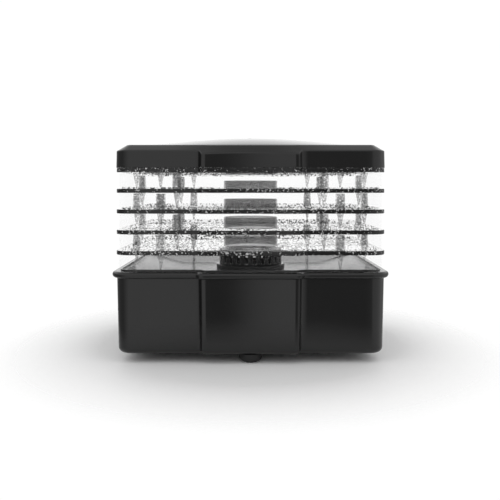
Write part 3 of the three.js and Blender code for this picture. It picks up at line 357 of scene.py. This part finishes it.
def painted_reflection_plastic(name, dark, light, alpha, clear, size, stretch, cover, behind=None):
    """Clear moulded plastic with a face of painted reflection: dark flecks, painted in for the dark
    surroundings that the clear plastic shows, between clear or pale ones. cover is the share of
    dark flecks, stretch their shape, and behind how opaque the sheet is from its back."""
    material, shader, place = new_material(name, IOR=1.49, Roughness=0.12)
    scaled = place.node("ShaderNodeMapping", None, Vector=place, Scale=stretch)
    grain = scaled.noise(size, 2.0, 0.6)
    broad = place.noise(18.0, 1.0)
    level = grain + (broad - 0.5) * 0.25
    threshold = 0.5 - (cover - 0.5) * 0.35
    # the dark flecks are painted reflection of the dark surroundings on clear plastic
    fleck = level.between(threshold - 0.02, threshold + 0.03)
    opacity = fleck * (alpha - clear) + clear
    # from its back the sheet can be made clearer, so that the painted dark face shows from the front
    # only
    if behind is not None:
        back = place.node("ShaderNodeNewGeometry", out=BACKFACING)
        opacity = opacity * (1 - back * (1 - behind))
    feed(
        shader,
        place,
        Base_Color=fleck.blend(grey(light), grey(dark)),
        Alpha=opacity,
        Normal=bumped(place, grain, 0.0004, 0.6),
    )
    return material


def brushed_metal(name, level, roughness, warm=0.0):
    """Plated steel with a faint drawn grain along one direction."""
    material, shader, place = new_material(name, Metallic=1.0)
    stretched = place.node("ShaderNodeMapping", None, Vector=place, Scale=(60.0, 600.0, 600.0))
    grain = stretched.noise(1.0, 2.0)
    feed(
        shader,
        place,
        Base_Color=grain.blend(grey(level * 0.85, warm), grey(level * 1.1, warm)),
        Roughness=roughness + (grain - 0.5) * 0.2,
    )
    return material


black_shell = moulded_plastic("black_moulded_shell", 0.006, 0.11, 1800.0, relief=0.000003)
black_gloss = moulded_plastic("black_gloss_deck", 0.006, 0.2, 2400.0, relief=0.000002)
black_lid = moulded_plastic("black_satin_lid", 0.008, 0.12, 1800.0, relief=0.000003)
black_knob = moulded_plastic("black_knob_plastic", 0.014, 0.38, 1500.0, relief=0.00004)
smoked_cap = moulded_plastic("smoked_window_plastic", 0.02, 0.1, 2600.0, relief=0.000002)
foot_rubber = moulded_plastic("foot_rubber", 0.012, 0.75, 900.0, relief=0.00006)
white_inner = moulded_plastic("white_heat_plastic", 0.72, 0.5, 1200.0, warm=0.03)
pressed_board = moulded_plastic("pressed_mica_board", 0.42, 0.7, 500.0, warm=0.25, relief=0.0001)
lamp_red = moulded_plastic("lamp_lens_red", 0.03, 0.15, 2000.0)
lamp_shader = lamp_red.node_tree.nodes["Principled BSDF"]
lamp_shader.inputs["Emission Color"].default_value = (0.5, 0.02, 0.01, 1)
lamp_shader.inputs["Emission Strength"].default_value = 0.6
steel = brushed_metal("plated_steel", 0.6, 0.32)
motor_steel = brushed_metal("bare_lamination_steel", 0.35, 0.48)
heating_wire = brushed_metal("heating_wire", 0.25, 0.5, 0.15)
tray_wall_clear = clear_plastic("tray_wall_clear", 0.4, 0.015, 0.05, 0.35)
# the clear rim's outer band is painted near-black with a few pale flecks: painted reflection of the
# dark surroundings, nearly clear from its back
tray_rim_edge = painted_reflection_plastic(
    "tray_rim_edge", 0.006, 0.6, 1.0, 1.0, 420.0, (1, 1, 1), 0.9, behind=0.06
)
tray_lip_clear = clear_plastic("tray_lip_clear", 0.9, 0.06, 0.1)
# dark flecks on the clear mesh bars and the rim's inner strip: painted reflection of the dark
# surroundings
tray_mesh_clear = painted_reflection_plastic("tray_mesh_clear", 0.05, 0.9, 0.75, 0.0, 150.0, (2, 1, 2), 0.33)
# the clear collar's dark grey tint is painted shade: the dark of the air hole that the ring shows
tray_collar_clear = clear_plastic("tray_collar_clear", 0.12, 0.4, 0.08, 0.75)
# dark flecks on the clear pegs and sockets: painted reflection of the dark surroundings
tray_peg_clear = painted_reflection_plastic("tray_peg_clear", 0.04, 0.9, 0.4, 0.1, 420.0, (1, 1, 1), 0.6)

# ------------------------------------------------------------------ camera, light, floor
stage = bpy.context.scene
camera_data = bpy.data.cameras.new("view")
camera_data.lens = 45.0
camera_data.sensor_width = 36.0
camera_data.shift_x = -0.001
camera_data.shift_y = -0.121
camera = bpy.data.objects.new("view", camera_data)
camera.location = (0.0, -0.8605, 0.207)
camera.rotation_euler = (math.pi / 2, 0.0, 0.0)
stage.collection.objects.link(camera)
stage.camera = camera
stage.view_settings.view_transform = "Standard"
stage.cycles.transparent_max_bounces = 40


PEAK = 2.0  # brightest level that the surroundings may have


def levels(*pairs):
    """Ramp stops from (place, level) pairs."""
    return [(place, grey(level / PEAK)) for place, level in pairs]


def studio_world():
    """Surroundings. Low down their level goes by bearing, in degrees from the front towards
    the right: grey bays beside the front and a bright band behind. Higher up it goes by
    height, dimmer overhead, and most of all behind the middle. The camera sees plain white."""
    world = bpy.data.worlds.new("studio")
    stage.world = world
    world.use_nodes = True
    tree = world.node_tree
    shade = tree.nodes["Background"]
    way = Value(tree, tree.nodes.new("ShaderNodeTexCoord").outputs["Generated"])
    split = tree.nodes.new("ShaderNodeSeparateXYZ")
    tree.links.new(way.socket, split.inputs[0])
    across, along, up = (Value(tree, out) for out in split.outputs)
    bearing = across.node("ShaderNodeMath", {"operation": "ARCTAN2"}, i0=across, i1=0 - along)
    turn = bearing.between(-math.pi, math.pi)
    bearings = (
        (-180, 1.25),
        (-160, 1.25),
        (-145, 0.3),
        (-100, 0.25),
        (-65, 0.3),
        (-18, 0.85),
        (-2.5, 0.85),
        (0, 0.64),
        (0.8, 0.43),
        (2.1, 0.22),
        (3.7, 0.16),
        (5, 0.26),
        (11, 0.21),
        (24, 0.7),
        (100, 0.9),
        (118, 0.5),
        (150, 0.4),
        (162, 1.25),
        (180, 1.25),
    )
    low = turn.ramp(levels(*(((degrees + 180) / 360, level) for degrees, level in bearings)))
    rising = ((0.0, 1.4), (0.2, 1.7), (0.36, 1.4), (0.66, 0.9))
    sides = up.ramp(levels(*rising, (0.78, 0.65), (1.0, 0.65)))
    centre = up.ramp(levels(*rising, (0.78, 0.25), (1.0, 0.4)))
    back = (across * across).between(0.001, 0.016).blend(centre, sides)
    high = along.between(-0.3, 0.3).blend(grey(0.95 / PEAK), back)
    light = up.between(0.2, 0.42).blend(low, high)
    seen = Value(tree, tree.nodes.new("ShaderNodeLightPath").outputs["Is Camera Ray"])
    colour = seen.blend(light, grey(1.02 / PEAK))
    tree.links.new(colour.socket, shade.inputs["Color"])
    shade.inputs["Strength"].default_value = PEAK


studio_world()


FULL_TURN = 2 * math.pi


def floor_plate():
    """A round pale plate, flat at height 0, that fades out towards its edge."""
    angle = np.linspace(0, FULL_TURN, 96, endpoint=False)
    radius = np.array([0.5, 60, 120, 180, 240, 300, 360])[:, None]
    grid = np.stack([radius * np.cos(angle), radius * np.sin(angle), 0 * radius * angle], axis=2)
    plate = skin("floor", grid[::-1])
    material, shader, place = new_material("pale_floor", Roughness=0.6, Specular_IOR_Level=0.1)
    away = place.node("ShaderNodeVectorMath", {"operation": "LENGTH"}, out=1, i0=place)
    feed(
        shader,
        place,
        Base_Color=place.noise(3.0).blend(grey(0.97), grey(0.99)),
        Alpha=1 - away.between(0.2, 0.34),
    )
    plate.data.materials.append(material)


floor_plate()


# ------------------------------------------------------------------ base
def tub():
    """Housing: rounded lower edge, side that leans out upwards, and the inside a wall in."""
    middle = (TUB_DRAFT + TUB_EDGE, TUB_BOTTOM + TUB_EDGE)
    outside = arc(*middle, TUB_EDGE, 270, 180, 12)
    climb = np.linspace(0, 1, 8)[1:]
    upright = [(TUB_DRAFT * (1 - t), middle[1] + (TUB_TOP - middle[1]) * t) for t in climb]
    inside = arc(*middle, TUB_EDGE - TUB_WALL, 180, 270, 8)
    profile = np.concatenate([outside, upright, [(TUB_WALL, TUB_TOP)], inside])
    return skin("tub_shell", lofted(profile))


def reach_at(angle, plan):
    """Distance from the middle to a closed plan outline, along each bearing in angle."""
    bearing = np.unwrap(np.arctan2(plan[:, 1], plan[:, 0]))
    reach = np.hypot(plan[:, 0], plan[:, 1])
    return np.interp(angle, np.append(bearing, bearing[0] + FULL_TURN), np.append(reach, reach[0]))


INTAKE_INNER = 19
INTAKE_OUTER = 46


def slotted_floor():
    """Flat plate that closes the tub below: round rows out from a ring of radial air slots."""
    columns = 240
    angle = np.linspace(0, FULL_TURN, columns, endpoint=False)
    edge = reach_at(angle, outline(TUB_DRAFT + TUB_EDGE)[0])
    inner = np.array([0.2, 8, 14, INTAKE_INNER, 24, 30, 36, 42, INTAKE_OUTER, 52])
    rows = [np.full(columns, r) for r in inner]
    rows += [inner[-1] + (edge - inner[-1]) * t for t in np.linspace(0, 1, 8)[1:]]
    radius = np.stack(rows[::-1])
    height = np.full_like(radius, TUB_BOTTOM + TUB_WALL)
    grid = np.stack([radius * np.cos(angle), radius * np.sin(angle), height], axis=2)
    middle = (radius[:-1] + radius[1:]) / 2
    slot = (np.arange(columns) % 20) < 7
    open_cells = slot[None, :] & (middle > INTAKE_INNER) & (middle < INTAKE_OUTER)
    return skin("tub_floor", grid, keep=~open_cells)


def thickened(piece, wall):
    """Gives a sheet its wall, behind its outer face."""
    thickness = piece.modifiers.new("thickness", "SOLIDIFY")
    thickness.thickness = wall * MM
    thickness.offset = -1
    return piece


finish_piece(tub(), "base", black_shell, ["base_tub"])
finish_piece(thickened(slotted_floor(), TUB_WALL), "base", black_shell)


DECK_HOLE = 40.0


def deck():
    """Deck: a rolled rim outside, a flat top band, a low lip and a dished floor that falls
    in a straight slope from the lip to the tower's hole."""
    bead = 3.9
    middle = DECK_TOP - bead
    rim = bead - (deck_high[0] - HALF_LENGTH)
    inside_tub = TUB_WALL + 0.4
    lip_top = DECK_TOP + LIP_RISE
    under = [(inside_tub, DISH_FLOOR - DECK_SHEET), (inside_tub, middle - bead)]
    rolled = [arc(rim, middle, bead, 270, 180, 10), arc(rim, middle, bead, 180, 90, 10)[1:]]
    lip = [
        (4.3, DECK_TOP), (4.4, DECK_TOP + 0.3), (4.5, lip_top - 0.4), (4.9, lip_top),
        (5.9, lip_top), (6.3, lip_top - 0.4), (6.4, DECK_TOP + 0.2), (6.6, DECK_TOP),
    ]
    dish_edge = arc(8.2, DECK_TOP - 0.8, 0.8, 90, 20, 4)
    fall = 7.2 / 52.5
    slope = [(inset, DECK_TOP - 1.5 - (inset - 9.5) * fall) for inset in np.linspace(10.5, 58, 8)]
    profile = np.concatenate([under, *rolled, lip, dish_edge, slope, [(63.0, DISH_FLOOR + 0.1)]])
    rows = lofted(profile)
    hole = ring(DECK_HOLE, DECK_HOLE, DISH_FLOOR)
    flat = spread(rows[-1], hole, 10)
    below = hole - [0, 0, DECK_SHEET]
    bottom = spread(below, rows[0], 4)
    grid = np.concatenate([rows, flat, hole[None], below[None], bottom])
    return skin("deck_dish", grid, close_rows=True)


finish_piece(deck(), "base", black_gloss, ["base_deck"])


def turned(name, profile, sides=96, close=False, keep=None, middle=(0.0, 0.0)):
    """A profile of (radius, height) rows spun about an upright line."""
    profile = np.asarray(profile, float)
    angle = np.linspace(0, FULL_TURN, sides, endpoint=False)
    radius = np.maximum(profile[:, 0], 0.01)[:, None]
    x = middle[0] + radius * np.cos(angle)
    y = middle[1] + radius * np.sin(angle)
    z = np.repeat(profile[:, 1][:, None], sides, axis=1)
    return skin(name, np.stack([x, y, z], axis=2), close_rows=close, keep=keep)


def bosses():
    """Four screw posts under the deck, each a plain tube: a circle at every row's radius."""
    parts = []
    angle = np.linspace(0, FULL_TURN, 24, endpoint=False)
    low, high = TUB_BOTTOM + TUB_WALL + 0.3, DISH_FLOOR - DECK_SHEET
    radius = np.array([1.9, 1.9, 5.0, 5.0])[:, None]
    height = np.repeat(np.array([high, low, low, high])[:, None], len(angle), axis=1)
    for number in range(1, 5):
        x, y = middle_of(f"deck_screw_{number}")
        grid = np.stack([x + radius * np.cos(angle), y + radius * np.sin(angle), height], axis=2)
        parts.append((grid.reshape(-1, 3), grid_faces(4, len(angle), True, True)))
    return joined("deck_screw_posts", parts)


finish_piece(bosses(), "base", black_gloss)


TOWER_TOP = tower_high[2]
TOWER_RADIUS = 42.5
TOWER_WALL = 1.8
FLANGE_TOP = TOWER_TOP - 19.6


def tower_wall():
    """Round outlet wall: upright slots are cells left open between rows and columns."""
    sides = 240
    edge = 1.5
    rows = [(TOWER_RADIUS, z) for z in (FLANGE_TOP - 0.4, FLANGE_TOP + 2.5, TOWER_TOP - 3.2)]
    shoulder = arc(TOWER_RADIUS - edge, TOWER_TOP - edge, edge, 0, 90, 5)
    top = [(radius, TOWER_TOP) for radius in (40.0, 34.0, 15.0, 0.0)]
    profile = np.concatenate([rows, shoulder, top])
    column = np.arange(sides)
    keep = np.ones((len(profile) - 1, sides), bool)
    keep[1] = ~((column % 10 >= 3) & (column % 10 < 7))
    keep[-2] = ~((column % 15 >= 5) & (column % 15 < 10))
    return turned("tower_cage", profile, sides, keep=keep)


def tower_flange():
    """Ring that seats the tower on the deck, with a rounded outer edge."""
    inner, outer, edge = TOWER_RADIUS - 0.5, 46.6, 1.0
    profile = np.concatenate([
        [(inner, DISH_FLOOR), (outer, DISH_FLOOR)],
        arc(outer - edge, FLANGE_TOP - edge, edge, 0, 90, 5),
        [(inner, FLANGE_TOP)],
    ])
    return turned("tower_flange", profile, close=True)


finish_piece(thickened(tower_wall(), TOWER_WALL), "base", black_gloss, ["outlet_tower"])
finish_piece(tower_flange(), "base", black_gloss)


FOOT_RADIUS = 13.5
FOOT_SOLE = 6.5
FOOT_ROUNDING = 6.0


def foot(name, middle):
    """Soft foot: a flat sole, a side that curves out like a bowl (a quarter of an ellipse)
    and a flat top under the tub."""
    top = TUB_BOTTOM - 0.3
    edge = 0.8
    turn = np.radians(np.linspace(0, 90, 10))
    reach = FOOT_SOLE + (FOOT_RADIUS - FOOT_SOLE) * np.sin(turn)
    bowl = np.stack([reach, FOOT_ROUNDING * (1 - np.cos(turn))], axis=1)
    profile = np.concatenate([
        [(0, 0), (3, 0), (FOOT_SOLE - 0.2, 0)],
        bowl,
        [(FOOT_RADIUS, top - 1.0)],
        arc(FOOT_RADIUS - edge, top - edge, edge, 10, 90, 4),
        [(6.0, top), (0, top)],
    ])
    return turned(name, profile, 64, middle=middle)


for side in ("front", "back", "left", "right"):
    node = f"foot_{side}"
    finish_piece(foot(f"foot_pad_{side}", middle_of(node)), "base", foot_rubber, [node])


# ------------------------------------------------------------------ trays
RIM_HEIGHT = 4.9
WALL_DROP = 24.37  # from the top of the rim to the foot of the wall
INSIDE = 5.2  # the tray's inside, in from the body's outline
COLLAR_RADIUS = 36.9
COLLAR_RISE = 13.5
MESH_PITCH = 6.0
MESH_BAR = 1.5
MESH_LAYER = 0.3
SOCKET_RISE = 18.8
SOCKET_WALL = 1.2
SOCKET_LEAN = 0.7
SOCKET_LONG = 5.75  # half the socket's width along the wall
SOCKET_SHORT = 4.5  # and half its width out from the wall
SOCKET_IN = 3.8 + SOCKET_SHORT + 0.6  # its middle, in from the body's outline
PEG_DROP = 20.5


def tray_rim(name, top):
    """Outer band of the rim: a thin strip with rounded edges."""
    low = top - RIM_HEIGHT
    edge = 0.4
    outer = -0.5
    profile = np.concatenate([
        arc(outer + edge, low + edge, edge, 270, 180, 3),
        arc(outer + edge, top - edge, edge, 180, 90, 3),
        [(0.5, top)],
    ])
    return skin(name, lofted(profile))


def tray_lip(name, top):
    """Rim behind its outer band, with the lip that holds the next tray in place."""
    low = top - RIM_HEIGHT
    profile = [
        (0.6, low), (0.6, top), (4.2, top), (4.4, top + 0.3), (4.5, top + 1.8), (4.9, top + 2.2),
        (5.5, top + 2.2), (5.9, top + 1.8), (5.9, top), (5.9, low),
    ]
    return skin(name, lofted(profile), close_rows=True)


def tray_strip(name, top):
    """Inner face of the rim, with the mesh's painted reflection flecks: a thin strip along the inside
    of the lip.
    """
    low = top - RIM_HEIGHT
    high = top + 2.0
    profile = [(6.0, low), (6.0, high), (6.3, high), (6.4, high - 0.3), (6.4, low + 0.4), (6.3, low)]
    return skin(name, lofted(profile), close_rows=True)


def tray_wall(name, top):
    """Thin clear wall that hangs below the rim, drawn in a little towards its foot."""
    low = top - WALL_DROP
    high = top - RIM_HEIGHT
    profile = [
        (2.4, low), (2.1, low + 0.5), (2.0, low + 4), (2.0, high + 0.2),
        (3.8, high + 0.2), (3.8, low + 0.4), (3.5, low),
    ]
    return skin(name, lofted(profile), close_rows=True)


def rounded_reach(place, half_across, half_along):
    """Half size of a rounded rectangle at each place across it: its half length, less what
    the corner's circle takes off."""
    radius = CORNER - INSIDE
    past = np.clip(np.abs(place) - (half_across - INSIDE - radius), 0, radius)
    return half_along - INSIDE - radius + np.sqrt(radius**2 - past**2)


def reach_along_x(y):
    """Half length of the tray's inside at each y."""
    return rounded_reach(y, HALF_DEPTH, HALF_LENGTH)


def reach_along_y(x):
    """Half depth of the tray's inside at each x, deeper behind the hollowed panel."""
    u = np.clip(np.abs(x) / HALF_PANEL, 0, 1)
    panel = HALF_DEPTH - INSIDE + PANEL_PROUD - PANEL_SCOOP * (1 - u * u)
    plain = rounded_reach(x, HALF_LENGTH, HALF_DEPTH)
    return np.where(np.abs(x) < HALF_PANEL - STEP_RUN, panel, plain)


def bars(start, end, across, low, high, along_x):
    """Boxes with a narrowed top, one for each bar: eight points and six faces apiece."""
    half = MESH_BAR / 2
    sides = half * np.array([-1, 1, 1, -1, -0.5, 0.5, 0.5, -0.5])
    ends = np.array([0, 0, 1, 1, 0, 0, 1, 1])
    z = np.where(np.arange(8) < 4, low, high)
    run = start[:, None] * (1 - ends) + end[:, None] * ends
    off = across[:, None] + sides
    level = np.broadcast_to(z, run.shape)
    points = np.stack([run, off, level] if along_x else [off, run, level], axis=2)
    box = np.array([(3, 2, 1, 0), (4, 5, 6, 7), (0, 1, 5, 4), (1, 2, 6, 5), (2, 3, 7, 6), (3, 0, 4, 7)])
    if along_x:
        box = box[:, ::-1]
    faces = (box[None] + 8 * np.arange(len(run))[:, None, None]).reshape(-1, 4)
    return points.reshape(-1, 3), faces


def split_at_collar(across, reach):
    """Start, end and offset of the bars, each cut in two where it would cross the air hole:
    the hole's half chord is the root of radius squared less offset squared."""
    hole = np.sqrt(np.clip(COLLAR_RADIUS**2 - across**2, 0, None))
    crossing = hole > 0
    start = np.concatenate([-reach, hole[crossing]])
    end = np.concatenate([np.where(crossing, -hole, reach), reach[crossing]])
    return start, end, np.concatenate([across, across[crossing]])


def tray_mesh(name, top):
    """Mesh floor: two layers of fine bars crossing at right angles."""
    floor = top - RIM_HEIGHT / 2
    y = np.arange(-19, 20) * MESH_PITCH
    x = np.arange(-25, 26) * MESH_PITCH
    gap = 0.1
    near, far = gap, gap + MESH_LAYER
    lengthwise = bars(*split_at_collar(y, reach_along_x(y)), floor - far, floor - near, True)
    crosswise = bars(*split_at_collar(x, reach_along_y(x)), floor + near, floor + far, False)
    return joined(name, [lengthwise, crosswise], False)


def tray_collar(name, top):
    """Ring round the air hole with rounded edges."""
    rim = top - RIM_HEIGHT / 2
    low, high = rim - 1.8, rim + COLLAR_RISE
    profile = np.concatenate([
        [(COLLAR_RADIUS - 2, low), (COLLAR_RADIUS, low)],
        [(COLLAR_RADIUS, z) for z in np.linspace(low, high - 0.8, 5)[1:]],
        arc(COLLAR_RADIUS - 1, high - 0.8, 0.9, 0, 180, 6),
    ])
    return turned(name, profile, 128, close=True)


def square_rows(x, y, rows):
    """Rows of a square tube's corners; each row is (half width, half depth, height)."""
    signs = np.array([(1, -1), (1, 1), (-1, 1), (-1, -1)])
    return np.array([[(x + sx * a, y + sy * b, z) for sx, sy in signs] for a, b, z in rows])


def tray_pegs(name, top, turn):
    """Tapered pegs below the floor and open sockets above it, at six places by the walls.
    turn is -1 for a tray that sits half a turn round."""
    floor = top - RIM_HEIGHT / 2
    side_x, side_y = HALF_LENGTH - SOCKET_IN, HALF_DEPTH - SOCKET_IN
    places = [(107.6, -side_y, 0), (-107.6, -side_y, 0), (88, side_y, 0), (-88, side_y, 0)]
    places += [(side_x, -21.5, 1), (-side_x, -21.5, 1)]
    mouth = top + SOCKET_RISE
    socket_floor = floor + 0.8
    inner_mouth = SOCKET_WALL + SOCKET_LEAN
    tip, root = floor - PEG_DROP, floor - 1.0
    centre = 0.01
    parts = []
    for x, y, sideways in places:
        x, y = x * turn, y * turn
        a, b = (SOCKET_SHORT, SOCKET_LONG) if sideways else (SOCKET_LONG, SOCKET_SHORT)
        socket = square_rows(x, y, [
            (a, b, floor), (a - SOCKET_LEAN, b - SOCKET_LEAN, mouth),
            (a - inner_mouth, b - inner_mouth, mouth),
            (a - SOCKET_WALL, b - SOCKET_WALL, socket_floor),
            (centre, centre, socket_floor), (centre, centre, floor),
        ])
        parts.append((socket.reshape(-1, 3), grid_faces(6, 4, True, True)))
        peg = square_rows(x, y, [
            (centre, centre, tip), (0.8, 0.8, tip), (1.0, 1.0, tip + 0.5),
            (4.2, 4.2, root), (centre, centre, root),
        ])
        parts.append((peg.reshape(-1, 3), grid_faces(5, 4, False, True)))
    return joined(name, parts, False)


TRAY_PIECES = (
    ("tray_lip", tray_lip, tray_lip_clear),
    ("tray_strip", tray_strip, tray_mesh_clear),
    ("tray_wall", tray_wall, tray_wall_clear),
    ("tray_mesh", tray_mesh, tray_mesh_clear),
    ("tray_collar", tray_collar, tray_collar_clear),
)
for number in range(1, TRAY_COUNT + 1):
    node = f"tray_{number}"
    rim_top = corners(node)[1][2] - SOCKET_RISE
    turn = -1 if number % 2 == 0 else 1
    finish_piece(tray_rim(f"tray_rim_{number}", rim_top), node, tray_rim_edge, [node])
    for name, made, material in TRAY_PIECES:
        finish_piece(made(f"{name}_{number}", rim_top), node, material)
    pegs = tray_pegs(f"tray_pegs_{number}", rim_top, turn)
    finish_piece(pegs, node, tray_peg_clear, bevel=0.3)


# ------------------------------------------------------------------ lid
WINDOW_INSET = 15.0
WINDOW_WALL = 1.9
LEDGE = 4.0
LID_PLANE = lid_high[2]
CROWN = window_high[2] - LID_PLANE
FALL_MARGIN = 0.4  # the crown would meet the lid's plane this far outside the opening
BEVEL_HEIGHT = 7.3
BEVEL_WIDTH = 12.0
SLOT_INNER = 22.0
SLOT_OUTER = 42.0


def lid_frame():
    """Lid: upright wall, one wide bevel that runs on down over the raised panels, a flat
    band with a rebated opening, and the same shape a wall's width in below."""
    low = lid_low[2]
    shoulder = LID_PLANE - BEVEL_HEIGHT
    slope = BEVEL_HEIGHT / BEVEL_WIDTH
    ledge = WINDOW_INSET + LEDGE
    wall = [(-0.4, low), (-0.8, low + 0.2), (-0.98, low + 0.7), (-0.95, low + 2), (-0.8, low + 8)]
    bevel = [
        (-0.62, shoulder - 2.5), (-0.6, shoulder - 1.0), (-0.45, shoulder - 0.35),
        (0.1, shoulder + 0.25), (1.2, shoulder + 0.9), (6.0, LID_PLANE - 3.55),
        (10.8, LID_PLANE - 0.65), (12.0, LID_PLANE - 0.1), (13.0, LID_PLANE),
    ]
    opening = [
        (WINDOW_INSET, LID_PLANE), (WINDOW_INSET, LID_PLANE - 2.0), (ledge, LID_PLANE - 2.0),
        (ledge, LID_PLANE - 3.4),
    ]
    below = [(8.4, LID_PLANE - 6.9), (2.4, shoulder - 3.0), (1.9, low)]
    # how far the panel stands out at each row, and how fast that row falls over it
    shares = [1.0] * 9 + [0.9, 0.5, 0.1] + [0.0] * 6 + [0.5, 1.0, 1.0]
    dips = [0.0] * 5 + [slope] * 7 + [0.0] * 6 + [slope, slope, 0.0]
    profile = wall + bevel + opening + below
    return skin("lid_cover", lofted(profile, shares, dips), close_rows=True)


finish_piece(lid_frame(), "lid", black_lid, ["lid_frame"])


def lid_cap():
    """Cap of the opening's outline, whose height over the flat is the crown times
    (1 - (x/a)^2)(1 - (y/b)^2), with a ring of radial air slots."""
    sides = 480
    angle = np.linspace(0, FULL_TURN, sides, endpoint=False)
    reach = reach_at(angle, outline(WINDOW_INSET + 0.3, 0.0)[0])
    inner = (SLOT_OUTER, 39.0, 35.0, 31.0, 27.0, SLOT_INNER, 17.0, 12.0, 6.0, 0.1)
    share = (1.0, 0.98, 0.95, 0.9, 0.82, 0.72, 0.6, 0.45, 0.3, 0.15)
    rows = [reach * t + SLOT_OUTER * (1 - t) for t in share]
    rows += [np.full(sides, r) for r in inner]
    radius = np.stack(rows)
    x, y = radius * np.cos(angle), radius * np.sin(angle)
    a = HALF_LENGTH - WINDOW_INSET + FALL_MARGIN
    b = HALF_DEPTH - WINDOW_INSET + FALL_MARGIN
    z = LID_PLANE + CROWN * (1 - (x / a) ** 2) * (1 - (y / b) ** 2)
    middle = (radius[:-1, 0] + radius[1:, 0]) / 2
    slotted = (middle > SLOT_INNER) & (middle < SLOT_OUTER)
    column = np.arange(sides) % 60
    slot = (column < 3) | (column >= 57)
    return skin("lid_cap", np.stack([x, y, z], axis=2), keep=~(slotted[:, None] & slot[None]))


finish_piece(thickened(lid_cap(), WINDOW_WALL), "lid", smoked_cap, ["lid_window"])

# ------------------------------------------------------------------ carried-over nodes
# Nodes that keep their CAD shape: inner works, controls, gland and fasteners.
CARRIED = {
    "air_duct": white_inner,
    "motor_bracket": steel,
    **{f"bracket_screw_{number}": steel for number in (1, 2)},
    "fan_motor": motor_steel,
    "motor_shaft": steel,
    "fan_impeller": white_inner,
    "heater_frame": pressed_board,
    "heater_coil": heating_wire,
    "thermal_fuse": steel,
    "control_bezel": black_gloss,
    "control_knob": black_knob,
    "thermostat_spindle": steel,
    "thermostat": white_inner,
    "switch_housing": black_knob,
    "switch_rocker": black_knob,
    "pilot_lamp_lens": lamp_red,
    "pilot_lamp_body": white_inner,
    "cord_gland": foot_rubber,
    "terminal_block": white_inner,
    "switch_lead": white_inner,
    "thermostat_lead": white_inner,
    **{f"deck_screw_{number}": steel for number in (1, 2, 3, 4)},
}
for node, material in CARRIED.items():
    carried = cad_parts[node]
    carried.data.materials.clear()
    carried.data.materials.append(material)
